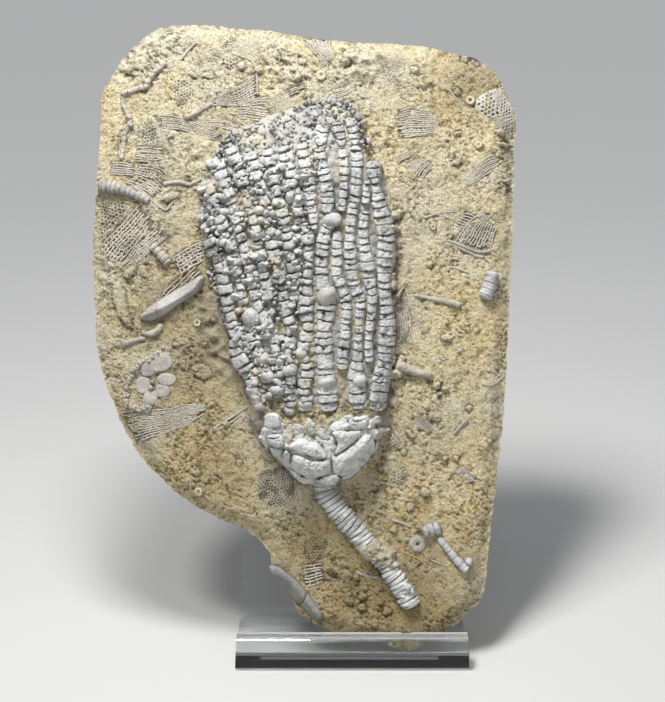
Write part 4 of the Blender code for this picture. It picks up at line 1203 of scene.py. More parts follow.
def make_stem():
    """The stem of uneven columnals, with matrix crusted on it half way down."""
    piece = Piece()
    add_rod(piece, STEM, STEM_HALF, STEM_RIB, 0.24, 0.30, sides=30, step=0.085, texture=0.16, uneven=1.0)
    for place, radius, rise in STEM_SCRAPS:
        add_knob(piece, place, radius, rise, 0.3, texture=0.4)
    piece.build("stem_ribbed", "pale_calcite", "stem")
    make_field("stem_crust", STEM_CRUST, 0.3, 0.2, stem_crust_shape, "sandy_limestone")


# ---------------------------------------------------------------- loose fossils

# Each rod: route, half widths at its ends, rib length and finish.
RODS = {
    "stem_fragment_left": (at((97, 186), (112, 187.5), (126, 191), (138, 196), (150, 201.5)), (1.75, 0.75),
        1.2, "grey_calcite"),
    "stem_fragment_right": (at((493, 271), (489, 285), (483.5, 299)), (1.55, 1.70), 1.55, "fossil_calcite"),
    "stem_fragment_low": (at((422, 532), (441, 526)), (1.45, 1.6), 1.45, "fossil_calcite"),
    "stem_twig_low": (at((438, 537), (447, 548), (455, 558), (467, 571)), (0.75, 1.05), 2.1,
        "fossil_calcite"),
    "chain_of_plates": (at((166, 62), (157, 70), (149.5, 80), (147, 86), (140.8, 88.2), (132.7, 90.8),
        (124, 93.6), (123, 99.4), (124, 106.6), (127.6, 113.7), (129.6, 118.8), (129.3, 125), (125.5, 133),
        (124, 142.3), (123, 150.5), (121.5, 160)), (0.70, 0.55), 1.35, "lace_calcite"),
    "spindle_spine": (at((395, 365), (405, 368), (418, 372.5), (432, 374.5)), (1.5, 0.70), 0.0,
        "lace_calcite"),
}
CHAIN = "chain_of_plates"
CHAIN_KNOBS = (((124, 94), 3.4), ((129, 117), 3.6), ((148, 83), 3.5), ((131, 126), 3.2))


def make_rods():
    """The loose pieces of stem, the chain of plates and the spindle."""
    for name, (route, halves, rib, finish) in RODS.items():
        piece = Piece()
        if name == CHAIN:
            add_rod(piece, route, halves, rib, 0.14, 0.2, sides=20, step=0.09, texture=0.30, uneven=0.9)
            for place, radius in CHAIN_KNOBS:
                add_knob(piece, place, radius, 1.5, 0.2, texture=0.3, dark=0.3)
        else:
            add_rod(piece, route, halves, rib, 0.14 if rib else 0.06, 0.12, sides=20, step=0.09,
                    texture=0.14, uneven=0.35)
        if name == "stem_twig_low":
            add_knob(piece, (469, 561), 4.5, 1.9)
        piece.build("loose_" + name, finish, name)


SPLINTER = at((140, 317.5), (146, 309), (156, 301.5), (170, 293), (186, 284), (198, 276.5), (203, 275.5),
    (205, 279), (199.7, 291), (190, 298), (179, 305), (168, 313), (159, 318.5), (152, 321), (145, 321))
# The splinter's ridge and cracks, and the rim shell's crack and ridge: route, width, lift.
SPLINTER_LINES = ((at((142, 316), (158, 310), (175, 301), (192, 290), (200, 279)), 0.85, 1.05),
                  (at((156.5, 301), (157.5, 310), (157, 319)), 0.10, -0.30),
                  (at((142.5, 312), (149, 311), (156, 311)), 0.10, -0.30))
RIM_SHELL_LINES = ((at((297, 606), (303, 602), (307, 592)), 0.16, -0.5),
                   (at((280, 575), (298, 592), (315, 612)), 0.7, 0.35))
RIM_SHELL = at((268, 568), (275, 566), (285, 571), (299, 582), (313, 599), (322.5, 614), (322, 622),
    (315, 621), (304, 611), (293, 600), (283, 589), (273, 578))
# The rosette's plates: outline and rise.
ROSETTE = (
    (at((141, 368), (146, 360), (155, 354), (165, 351.5), (171, 357), (173, 364), (168, 370), (160, 372.5),
        (152, 376), (143, 376.5)), 0.55),
    (at((157, 376.5), (164, 373), (173, 374.5), (177, 379), (173, 385), (164, 386), (157.5, 382)), 0.4),
    (at((155.5, 386), (162, 384), (170, 387.5), (170.5, 394), (164, 398), (156.5, 396)), 0.45),
    (at((143.5, 394), (149, 389.5), (156.5, 391.5), (158, 399), (153, 406), (145, 404)), 0.4),
    (at((135.5, 381), (141, 376.5), (149, 378.5), (151, 388), (145, 394), (137, 392)), 0.45),
)
ROSETTE_EDGE = at((165, 349.5), (154, 355), (145, 360.5), (137, 367), (131, 376), (126.5, 388), (125, 400),
    (130, 405), (139, 408), (152, 409))
# Scraps between the plates: pixel and radius in pixels.
ROSETTE_SCRAPS = (((156.5, 370), 3.2), ((152.5, 382), 2.4), ((151, 387.6), 2.8), ((147, 407), 3.2))


# Single shells: outline, rise, width of the rounded edge, point spacing, lines and finish.
SHELLS = {
    "shell_splinter": (SPLINTER, 1.5, 1.1, 0.20, SPLINTER_LINES, "violet_shell"),
    "shell_on_rim": (RIM_SHELL, 1.7, 1.5, 0.22, RIM_SHELL_LINES, "dark_shell"),
}


def make_shell(name):
    """One of the smooth single shells."""
    outline, rise, rounding, step, lines, finish = SHELLS[name]
    piece = Piece()
    add_patch(piece, outline, rise, rounding, step, texture=0.05, ridges=lines)
    piece.build("loose_" + name, finish, name)


def make_rosette():
    """The rosette of plates, and its crumbled edge."""
    piece = Piece()
    for outline, rise in ROSETTE:
        add_patch(piece, outline, rise, 0.5, 0.22, texture=0.06, dark=0.45)
    piece.build("loose_plate_rosette", "rosy_plates", "plate_rosette")
    piece = Piece()
    dice = random.Random(5)
    for place, radius in ROSETTE_SCRAPS:
        add_knob(piece, place, radius, 1.2, 0.2, texture=0.2)
    add_rod(piece, ROSETTE_EDGE, (0.40, 0.75), 0.9, 0.3, 0.30, sides=14, step=0.12, texture=0.6, uneven=1.0)
    for point in curve_through(ROSETTE_EDGE, 0.5):
        place = (point.x / PIXEL_MM + ORIGIN_PX[0] + dice.gauss(0, 1.5),
                 ORIGIN_PX[1] - point.y / PIXEL_MM + dice.gauss(0, 1.5))
        add_knob(piece, place, dice.uniform(1.0, 2.4), dice.uniform(0.5, 1.2), 0.3, texture=0.3, dark=0.2)
    piece.build("loose_rosette_edge", "lace_calcite", "plate_rosette")


# Round columnals: pixel, radius in pixels, rise, how wide the hole is.
RINGS = (((197, 323), 4.6, 0.8, 0.35), ((198.5, 492), 5.2, 0.7, 0.35), ((321, 75), 6.0, 0.7, 0.35),
    ((470, 101), 5.4, 1.1, 0.35), ((478, 145), 4.8, 0.9, 0.2), ((433, 227), 4.0, 0.7, 0.3))
# The pale plate on the right edge: its outline, and its wide and fine holes in the form of NETS.
NET_PLATE = at((475.5, 101), (487, 91.5), (501, 87.5), (505, 93), (512, 106), (514.5, 118), (515.5, 132),
    (511, 137), (503, 132.3), (492, 121.5), (483, 117), (475, 109))
NET_HOLES = (
    (at((477, 100), (488, 92), (493, 91), (497, 104), (500, 118), (492, 121), (483, 116), (476, 108)), 4.7,
        1.25, 0.50, 0.45),
    (at((494.5, 91), (502, 88), (508, 97), (514, 112), (515, 130), (510, 136), (502, 130), (500.5, 112)),
        3.6, 0.95, 0.42, 0.45),
)


def net_shape(plan, edge):
    holes = net_pits(plan, NET_HOLES)
    top = ground.read(plan) + 0.15 + 0.35 * smooth(edge / 0.8) - holes + 0.08 * fractal(plan, 1.2, 4.1, 3)
    # Painted shade in the holes.
    return top, {"crevice": 2.2 * holes + 0.1 - 0.2 * fractal(plan, 1.2, 4.1, 3)}


def make_discs():
    """The ring plate and the small round columnals."""
    piece = Piece()
    add_ring(piece, (417.5, 544), 9.0, 0.75, 0.3)
    piece.build("loose_ring_plate", "dusty_calcite", "ring_plate")
    piece = Piece()
    for place, radius, rise, hole in RINGS:
        add_ring(piece, place, radius, rise, hole)
    piece.build("loose_columnals", "sandy_limestone")


# ---------------------------------------------------------------- lace corals, nets and small relief

# Each lace: rows of pixels across its ribs, ribs, bars between two ribs, half width of a rib.
LACES = (
    # top left
    (((213, 101), (213.5, 105)), ((226, 92), (234, 99), (236, 107)), ((240, 84), (248, 92), (252, 102)),
        ((255, 73), (258, 86), (259, 99)), 9, 11, 0.17),
    (((238, 105), (238, 119)), ((254, 106), (254, 121)), ((270, 109), (269, 124)), 6, 5, 0.21),
    (((250, 98), (250, 106)), ((260, 97), (260, 105)), ((270, 97), (270, 105)), 3, 7, 0.18),
    (((155, 115), (160, 127)), ((172, 115), (172, 130)), ((189, 120), (187, 132)), ((206, 127), (205, 138)),
        ((223, 132), (221, 142)), 7, 12, 0.17),
    (((208, 119), (210, 126)), ((222, 120), (222, 129)), ((241, 126), (238, 133)), 5, 3, 0.20),
    (((137, 146), (136, 163)), ((150, 147), (149, 163)), ((165, 148), (164, 165)), 7, 3, 0.20),
    (((112, 162), (110, 175)), ((122, 162), (121, 176)), ((134, 164), (133, 176)), 6, 2, 0.20),
    (((125, 184), (141, 164)), ((136, 187), (153, 165)), ((147, 192), (163, 168)), ((155, 197), (168, 175)),
        9, 7, 0.19),
    (((134, 187), (148, 181)), ((143, 193), (156, 184)), ((151, 199), (162, 190)), 6, 2, 0.21),
    (((98, 248), (116, 268)), ((112, 232), (130, 252)), ((126, 218), (142, 238)), ((139, 204), (152, 222)),
        8, 12, 0.22),
    (((118, 268), (138, 262)), ((132, 250), (146, 256)), ((146, 236), (158, 246)), ((160, 224), (170, 236)),
        6, 9, 0.19),
    (((130, 247), (147, 239)), ((136, 253), (151, 245)), ((142, 259), (155, 251)), 6, 0, 0.21),
    (((170, 258), (181, 275)), ((183, 249), (194, 267)), ((198, 242), (207, 259)), ((212, 240), (216, 252)),
        6, 8, 0.23),
    (((160, 296), (171, 303)), ((174, 280), (188, 292)), ((192, 262), (203, 275)), 5, 4, 0.16),
    # top middle
    (((300, 37), (326, 30)), ((308, 47), (330, 40)), ((317, 57), (332, 50)), ((326, 68), (336, 60)), 8, 9,
        0.17),
    (((319, 101), (324, 106)), ((331, 91), (335, 99)), ((346, 86), (348, 94)), 5, 0, 0.19),
    (((289, 90), (290, 96)), ((297, 86), (298, 93)), ((306, 83), (307, 90)), 3, 0, 0.20),
    (((262, 121), (268, 130)), ((275, 122), (279, 130)), ((288, 125), (290, 131)), 4, 0, 0.20),
    # top right
    (((434, 116), (440, 124), (434, 134)), ((424, 110), (427, 123), (423, 136)), ((412, 107), (411, 122),
        (412, 138)), ((399, 110), (396, 123), (401, 139)), 13, 8, 0.17),
    (((406, 166), (423, 180)), ((414, 160), (428, 172)), ((423, 158), (433, 166)), 9, 3, 0.17),
    (((397, 155), (401, 162)), ((403, 152), (407, 159)), ((409, 150), (412, 157)), 4, 0, 0.18),
    (((464, 179), (468, 187)), ((474, 168), (481, 179)), ((484, 159), (492, 172)), ((496, 153), (502, 165)),
        7, 4, 0.22),
    (((503, 154), (505, 161)), ((509, 151), (511, 158)), ((514, 150), (514, 156)), 4, 0, 0.20),
    (((470, 60), (478, 66)), ((474, 56), (482, 62)), ((478, 54), (485, 58)), 5, 0, 0.17),
    # right
    (((452, 243), (490, 250)), ((460, 232), (494, 240)), ((470, 220), (497, 228)), ((484, 211), (500, 216)),
        12, 5, 0.17),
    (((456, 226), (466, 212)), ((463, 228), (471, 214)), ((470, 229), (476, 217)), 6, 0, 0.18),
    (((393, 300), (403, 290)), ((393, 315), (409, 308)), ((394, 332), (411, 326)), ((396, 345), (409, 342)),
        7, 12, 0.18),
    (((412, 420), (422, 415)), ((420, 427), (429, 422)), ((428, 436), (435, 431)), 5, 0, 0.18),
    (((455, 472), (464, 466)), ((462, 478), (470, 472)), ((468, 485), (477, 479)), 6, 3, 0.20),
    (((386, 436), (396, 430)), ((390, 444), (402, 437)), ((394, 452), (407, 445)), 6, 6, 0.16),
    (((414, 324), (419, 321)), ((419, 330), (424, 327)), ((424, 334), (428, 331)), 3, 0, 0.17),
    # bottom left
    (((119, 413), (137, 442)), ((140, 409), (152, 437)), ((166, 409), (174, 430)), ((189, 404), (192, 422)),
        ((208, 404), (205, 413)), 13, 9, 0.19),
    (((302, 566), (305, 588)), ((312, 564), (316, 586)), ((322, 563), (325, 582)), 7, 2, 0.19),
)
# Spines: route, half widths at the ends, rib length.
SPINES = (
    (at((186, 117.5), (199, 111), (212, 103)), (0.62, 0.60), 0.0),
    (at((256.5, 64), (257, 80), (257.5, 95)), (0.34, 0.20), 0.0),
    (at((296, 54), (297, 66), (297.8, 78)), (0.42, 0.55), 0.0),
    (at((441, 80), (452, 94), (463, 109), (468, 123)), (0.17, 0.26), 0.0),
    (at((424, 218), (438, 214), (454, 211.5)), (0.28, 0.18), 0.0),
    (at((449, 266.5), (460, 269.5), (471, 273.5)), (0.34, 0.26), 0.0),
    (at((414, 295), (428, 298), (445, 301.5), (461, 305.5)), (0.36, 0.80), 0.0),
    (at((448, 240.5), (461, 245.5), (477, 251.5), (491, 251.5)), (0.42, 0.36), 0.55),
    (at((450, 244), (463, 249.5), (477, 256), (485, 256.5)), (0.34, 0.40), 0.50),
    (at((213, 429), (227, 420), (242, 410.5), (255.5, 402)), (0.30, 0.24), 0.0),
    (at((219, 430), (232, 421.5), (246, 412)), (0.26, 0.20), 0.0),
    (at((367.5, 478), (380, 482), (392.5, 486)), (0.42, 0.26), 0.0),
    (at((431, 560), (441, 564), (450, 567)), (0.26, 0.18), 0.0),
    (at((453.5, 434), (460, 427), (467.5, 419)), (0.36, 0.44), 0.0),
    (at((459, 428), (462, 435), (465, 441)), (0.34, 0.16), 0.0),
    (at((151.5, 245), (160, 254), (169, 264)), (1.15, 1.25), 1.3),
    (at((141, 332), (149, 334), (157, 331), (162, 324)), (0.60, 0.85), 0.0),
    (at((122, 345), (132, 341), (146, 338)), (0.80, 0.50), 0.0),
    (at((163, 184), (178, 182), (190, 184), (202, 178)), (0.55, 0.36), 0.0),
    (at((134, 187), (151, 200), (165, 210), (171, 204), (178, 198)), (0.34, 0.26), 0.0),
    (at((141, 412), (147, 410), (153, 406)), (0.30, 0.24), 0.0),
    (at((481, 384), (493, 385), (505, 375.5)), (0.30, 0.22), 0.0),
    (at((440, 358.5), (444, 360), (448.5, 355)), (0.24, 0.20), 0.0),
    (at((100, 280), (112, 273), (124, 264), (130, 259)), (0.36, 0.26), 0.0),
    (at((302, 105), (304, 112), (310, 115), (316, 113), (319, 106)), (0.55, 0.5), 0.0),
    (at((231, 53.5), (243, 57), (251, 61), (256, 70)), (0.28, 0.24), 0.0),
    (at((368, 520), (376, 523), (385, 519)), (0.18, 0.14), 0.0),
    (at((392, 520), (402, 523), (412, 527)), (0.42, 0.28), 0.0),
    (at((356, 572), (366, 576), (378, 578)), (0.34, 0.3), 0.0),
    (at((180, 60), (188, 50), (196, 42)), (0.36, 0.3), 0.0),
)
# Smooth or lumpy patches: outline, rise, rounding.
PATCHES = (
    (at((200, 75), (205, 72), (212, 74), (217, 77), (211, 79), (203, 78)), 0.6, 0.7),
    (at((186, 72), (192, 70), (197, 75), (199, 79), (192, 79)), 0.9, 0.8),
    (at((112, 286), (120, 284), (126, 292), (127, 304), (130, 318), (133, 328), (126, 327), (118, 316),
        (113, 302)), 1.3, 1.3),
    (at((162, 200), (164, 195), (172, 191), (181, 192), (178, 198), (168, 203)), 1.0, 1.1),
    (at((122, 277), (125, 270), (131, 266), (137, 268), (135, 275), (128, 279)), 1.1, 1.2),
    (at((209, 288.5), (212, 282), (217.5, 279), (217, 284), (212, 289)), 0.9, 0.7),
    (at((441, 338), (444, 334.5), (450, 334.5), (453, 338), (449, 341.5), (443, 341.5)), 1.0, 0.8),
    (at((397, 358), (401, 353), (406, 356), (405, 363), (400, 367), (396, 364)), 1.2, 0.9),
    (at((405, 430), (410, 430), (415, 436), (412, 439.5), (407, 436)), 0.8, 0.8),
    (at((383.5, 229), (387, 225), (393, 223.5), (397, 227), (393, 232), (386, 232)), 3.2, 1.2),
    (at((385, 221), (390, 212), (399, 208), (405, 211), (400, 219), (392, 222)), 1.9, 1.4),
    (at((388, 273), (395, 272), (397.5, 284), (394, 291), (388.5, 290)), 2.2, 1.2),
    (at((389, 296), (398, 291), (404, 286), (402, 295), (396, 304), (390, 309)), 1.6, 1.2),
    (at((386, 240), (392, 238), (396, 246), (396, 262), (393, 270), (388, 268)), 1.9, 1.1),
    (at((384, 352), (393, 350), (397, 358), (395, 366), (386, 368)), 1.8, 1.2),
    (at((385, 370), (396, 368), (404, 371), (402, 378), (392, 380), (385, 378)), 1.7, 1.0),
    (at((452, 160), (460, 157), (464, 162), (457, 166), (451, 165)), 0.8, 0.8),
    (at((493, 131), (500, 129), (506, 131), (504, 136), (496, 136)), 0.9, 0.9),
    (at((496, 143), (504, 141), (513, 144), (508, 148), (499, 147)), 1.0, 0.9),
    (at((190, 368), (198, 362), (208, 366), (214, 374), (206, 380), (196, 377)), 0.7, 1.1),
    (at((146, 176), (150, 171), (156, 172), (158, 178), (152, 181)), 0.5, 0.9),
)
# Small knobs: pixel, radius in pixels, rise.
KNOBS = (((410, 507), 4.8, 0.9), ((196, 471), 5.2, 0.7), ((297.8, 78), 4.4, 1.2), ((259.5, 69), 4.6, 1.3),
    ((346.5, 62), 5.0, 1.2), ((308, 95), 4.2, 0.9), ((242, 66), 4.8, 0.6), ((414.5, 70), 4.6, 0.9),
    ((457.5, 93), 4.2, 0.9), ((465, 58), 4.0, 0.8), ((457.5, 134), 3.4, 1.0), ((450.5, 237), 3.0, 1.1),
    ((226.5, 424), 3.6, 0.9), ((436.8, 385.5), 4.6, 1.2), ((445, 389.5), 3.5, 1.0),
    ((440, 393.4), 2.8, 0.9), ((445, 458.7), 3.0, 0.8), ((455.8, 458.5), 3.2, 0.8), ((469, 408), 3.0, 0.7),
    ((490.5, 441), 3.2, 0.8), ((425, 492), 5.0, 1.5), ((362, 607), 4.5, 1.0), ((387, 611), 4.8, 1.1),
    ((356, 578), 4.0, 0.9), ((350, 601), 4.6, 0.9), ((363, 596), 5.0, 0.8), ((186, 117.5), 3.4, 1.3),
    ((152, 160), 2.8, 0.6), ((170, 137), 3.0, 0.7), ((343, 512), 3.0, 0.8), ((352, 512), 3.6, 0.9),
    ((394, 530), 4.0, 0.9), ((370, 520), 2.6, 0.6), ((404, 452), 3.0, 0.7), ((214, 320), 3.2, 0.7),
    ((205, 345), 3.0, 0.5), ((176, 345), 3.0, 0.5), ((183, 455), 3.2, 0.5), ((240, 462), 3.0, 0.5),
    ((460, 350), 3.0, 0.5), ((476, 330), 3.0, 0.5), ((430, 264), 3.6, 0.7))
# Pricked nets in the face: outline, pitch and hole radius in pixels, depth and turn of the grid.
NETS = (
    (at((257, 478), (264, 470), (280, 466), (291, 468), (296, 484), (294, 500), (286, 508), (270, 507),
        (258, 500)), 2.9, 0.95, 0.34, 0.3),
    (at((205, 61), (222, 43), (232, 34), (238, 39), (226, 52), (211, 66)), 3.0, 0.90, 0.34, 0.75),
    (at((219, 66), (223, 57), (232, 53), (240, 56), (239, 66), (229, 70)), 3.4, 1.05, 0.36, 0.6),
    (at((174, 80), (190, 78), (196, 90), (190, 100), (184, 112), (174, 104), (172, 92)), 3.4, 1.05, 0.30,
        0.4),
    (at((140, 118), (156, 124), (160, 140), (152, 148), (142, 140)), 3.4, 1.0, 0.30, 0.4),
    (at((97, 205), (112, 200), (132, 204), (118, 222), (100, 240)), 3.8, 1.15, 0.32, 0.7),
    (at((386, 60), (392, 72), (404, 84), (398, 90), (386, 80), (380, 66)), 3.2, 0.95, 0.26, 0.9),
    (at((394, 470), (406, 464), (412, 478), (400, 488), (388, 482)), 3.0, 0.95, 0.26, 0.5),
    (at((304, 540), (318, 534), (330, 542), (326, 558), (312, 566), (302, 556)), 3.2, 1.0, 0.26, 0.2),
)
# Smooth violet-grey films that lie level with the face.
VIOLET_FLATS = (
    at((237, 50), (240, 42), (247, 35), (262, 33), (262, 39), (258, 50), (252, 57), (240, 54)),
    at((268, 98), (280, 94), (293, 100), (293, 114), (283, 120), (270, 117), (266, 107)),
    at((388, 60), (395, 54), (404, 57), (404, 67), (397, 71), (390, 67)),
    at((258, 476), (272, 464), (292, 466), (297, 482), (294, 502), (280, 510), (262, 507)),
    at((196, 300), (215, 290), (232, 320), (236, 350), (242, 380), (222, 384), (205, 350), (196, 324)),
    at((388, 290), (404, 290), (412, 312), (410, 344), (396, 350), (390, 330)),
    at((150, 120), (166, 128), (170, 146), (158, 152), (146, 140)),
)
# Rough crumbly zones of the face.
ROUGH_ZONES = (
    at((108, 76), (118, 60), (132, 44), (150, 33), (168, 29), (182, 34), (180, 52), (168, 62), (156, 66),
        (146, 78), (132, 84), (118, 86)),
    at((195, 292), (202, 300), (214, 318), (224, 340), (232, 362), (226, 384), (214, 372), (204, 340),
        (196, 316)),
    at((388, 214), (400, 218), (404, 250), (402, 300), (396, 340), (402, 380), (398, 412), (388, 412),
        (386, 340)),
    at((380, 444), (396, 436), (402, 452), (392, 470), (372, 474)),
    at((196, 170), (210, 150), (214, 134), (200, 140), (188, 160)),
    at((100, 256), (122, 262), (128, 280), (112, 300), (98, 290)),
    at((262, 60), (300, 52), (318, 74), (300, 92), (270, 88)),
    at((340, 44), (372, 46), (392, 60), (370, 78), (340, 70)),
    at((332, 556), (352, 560), (356, 584), (340, 592), (326, 580)),
)
# Painted shade: zones of the face darkened for light falloff and shadow, lightened where the amount is
# negative: place, reach in pixels, amount.
PAINTED_SHADES = (((215, 355), 50, 0.50), ((215, 470), 55, 0.40), ((330, 600), 70, 0.55), ((150, 420), 50, 0.30),
    ((350, 575), 40, 0.35), ((300, 525), 35, 0.45), ((425, 600), 45, 0.35), ((165, 312), 25, 0.25),
    ((190, 330), 85, 0.35), ((505, 260), 35, -0.4), ((216, 260), 28, 0.3), ((130, 235), 45, 0.25),
    ((475, 85), 45, 0.35), ((440, 580), 60, 0.40), ((380, 610), 50, 0.35), ((390, 450), 40, 0.25),
    ((150, 310), 40, 0.2), ((470, 72), 40, 0.35), ((235, 475), 40, 0.35), ((254, 113), 15, 0.70),
    ((222, 122), 12, 0.45), ((180, 190), 14, 0.35), ((300, 545), 26, 0.30))
# Warmer (ochre) and cooler (grey-cream) zones of the face, in the same form.
TONES = (((470, 340), 60, 0.40), ((440, 500), 65, 0.85), ((400, 620), 50, 0.6), ((180, 480), 50, 0.6),
    ((468, 120), 30, 0.40), ((110, 150), 26, 0.50), ((112, 310), 24, 0.45), ((240, 490), 34, 0.7),
    ((330, 600), 60, 0.7), ((500, 230), 30, 0.35), ((200, 440), 40, 0.30), ((215, 70), 40, -0.45),
    ((150, 230), 45, -0.75), ((160, 150), 40, -0.35), ((215, 340), 32, -0.75), ((280, 500), 26, -0.55),
    ((370, 80), 50, -0.55), ((425, 260), 40, -0.40), ((400, 320), 30, -0.55), ((330, 60), 45, -0.30),
    ((150, 370), 30, -0.35), ((420, 430), 26, -0.20), ((165, 430), 34, -0.45), ((390, 590), 30, -0.45),
    ((310, 575), 22, -0.45), ((420, 180), 30, -0.25))


def make_small_relief():
    """The lace corals' ribs and the small spines."""
    piece = Piece()
    for number, (runs, (*_, bars, half)) in enumerate(zip(lace_runs(), LACES)):
        add_lace(piece, runs, bars, 1.12 * half, number, 0.25)
    piece.build("relief_lace", "lace_calcite")
    piece = Piece()
    for route, halves, rib in SPINES:
        add_rod(piece, route, halves, rib, 0.2 if rib else 0.0, 0.25, sides=10, step=0.14 if rib else 0.2,
                texture=0.35)
    piece.build("relief_spines", "dusty_calcite")


# ---------------------------------------------------------------- materials

def nodes_of(name):
    made = bpy.data.materials.new(name)
    made.use_nodes = True
    tree = made.node_tree
    return made, tree, tree.nodes["Principled BSDF"]


def add_node(tree, kind, links=None, **settings):
    """A shader node with its settings; links maps an input's name or number to a socket or value."""
    node = tree.nodes.new(kind)
    for key, value in settings.items():
        setattr(node, key, value)
    for key, value in (links or {}).items():
        if isinstance(value, bpy.types.NodeSocket):
            tree.links.new(value, node.inputs[key])
        else:
            node.inputs[key].default_value = value
    return node


def ramp(tree, factor, stops):
    """A colour ramp: each stop is a place and a colour, or a shade of grey."""
    node = add_node(tree, "ShaderNodeValToRGB", {"Fac": factor})
    elements = node.color_ramp.elements
    while len(elements) < len(stops):
        elements.new(0.5)
    for element, (place, colour) in zip(elements, stops):
        element.position = place
        element.color = (*(colour if isinstance(colour, tuple) else (colour,) * 3), 1.0)
    return node.outputs["Color"]


def fill_sockets(tree, pairs):
    """Link or set each socket; a colour gets its alpha."""
    for socket, value in pairs:
        if isinstance(value, bpy.types.NodeSocket):
            tree.links.new(value, socket)
        else:
            socket.default_value = (*value, 1.0) if isinstance(value, tuple) else value


def blend(tree, factor, one, two, mode="MIX"):
    node = add_node(tree, "ShaderNodeMix", data_type="RGBA", blend_type=mode)
    fill_sockets(tree, zip((node.inputs[0], node.inputs[6], node.inputs[7]), (factor, one, two)))
    return node.outputs[2]


def maths(tree, operation, one, two=0.0, three=0.0):
    node = add_node(tree, "ShaderNodeMath", operation=operation)
    fill_sockets(tree, zip(node.inputs, (one, two, three)))
    return node.outputs[0]


def noise_value(tree, place, size, detail=3.0, roughness=0.6):
    """Noise of a feature size in millimetres."""
    node = add_node(tree, "ShaderNodeTexNoise", {"Vector": place, "Scale": 1.0 / (size * MM),
                                                 "Detail": detail, "Roughness": roughness})
    return node.outputs["Fac"]


def attribute(tree, name):
    return add_node(tree, "ShaderNodeAttribute", attribute_name=name).outputs["Fac"]


def dress(tree, shader, body, lift, roughness, specular, strength, depth):
    """The colour, roughness and fine bump of a dry surface."""
    bump = add_node(tree, "ShaderNodeBump", {"Height": lift, "Strength": strength, "Distance": depth})
    tree.links.new(body, shader.inputs["Base Color"])
    tree.links.new(bump.outputs["Normal"], shader.inputs["Normal"])
    shader.inputs["Roughness"].default_value = roughness
    shader.inputs["Specular IOR Level"].default_value = specular


def stone_material():
    """Sandy limestone: ochre to grey-cream zones, sharp pale and dark grains, grain tops made pale partly by
    painted highlight, painted brown shade in pits and hollows, and painted shade zones.
    """
    made, tree, shader = nodes_of("sandy_limestone")
    place = add_node(tree, "ShaderNodeTexCoord").outputs["Object"]
    broad = noise_value(tree, place, 13.0, 3.0, 0.5)
    patch = noise_value(tree, place, 2.6, 3.0, 0.6)
    grain = noise_value(tree, place, 0.44, 3.0, 0.7)
    fine = noise_value(tree, place, 0.19, 2.0, 0.6)
    rubbly = noise_value(tree, place, 1.2, 4.0, 0.7)
    warmth = maths(tree, "MULTIPLY_ADD", attribute(tree, "warm"), 0.30, broad)
    body = ramp(tree, warmth, [(0.24, (0.56, 0.515, 0.40)), (0.42, (0.66, 0.585, 0.40)),
                               (0.58, (0.72, 0.60, 0.335)), (0.78, (0.69, 0.53, 0.22))])
    body = blend(tree, ramp(tree, patch, [(0.46, 0.0), (0.66, 0.4)]), body, (0.71, 0.645, 0.47))
    body = blend(tree, maths(tree, "MULTIPLY", attribute(tree, "violet"), 0.65), body, (0.34, 0.31, 0.285))
    body = blend(tree, maths(tree, "MULTIPLY", attribute(tree, "stain"), 0.75), body, (0.56, 0.54, 0.46))
    speck = ramp(tree, grain, [(0.35, (0.42, 0.37, 0.28)), (0.45, (0.82, 0.79, 0.72)),
                               (0.53, (1.0, 0.99, 0.96)), (0.66, (1.22, 1.21, 1.16))])
    body = blend(tree, 0.92, body, speck, "MULTIPLY")
    body = blend(tree, ramp(tree, fine, [(0.58, 0.0), (0.68, 0.75)]), body, (0.86, 0.82, 0.68))
    body = blend(tree, ramp(tree, fine, [(0.34, 0.85), (0.44, 0.0)]), body, (0.22, 0.17, 0.10))
    crevice = attribute(tree, "crevice")
    # Low painted shade turns the grain tops pale cream: partly the crumbs' own colour, partly painted
    # highlight.
    body = blend(tree, ramp(tree, crevice, [(0.0, 0.5), (0.34, 0.0)]), body, (0.90, 0.825, 0.63))
    # Painted shade: brown to near black in pits, seams and hollows.
    deep = ramp(tree, crevice, [(0.27, 0.0), (0.52, 0.42), (0.95, 0.90)])
    body = blend(tree, deep, body, (0.13, 0.11, 0.08))
    # Painted shade over whole zones: the painted shade table, the arms' foot band and the stem's crust.
    body = blend(tree, attribute(tree, "shade"), body, (0.56, 0.51, 0.40), "MULTIPLY")
    lift = maths(tree, "MULTIPLY_ADD", grain, 0.5, maths(tree, "MULTIPLY", fine, 0.25))
    lift = maths(tree, "MULTIPLY_ADD", rubbly, 0.5, lift)
    dress(tree, shader, body, lift, 0.9, 0.3, 1.0, 0.0014)
    return made


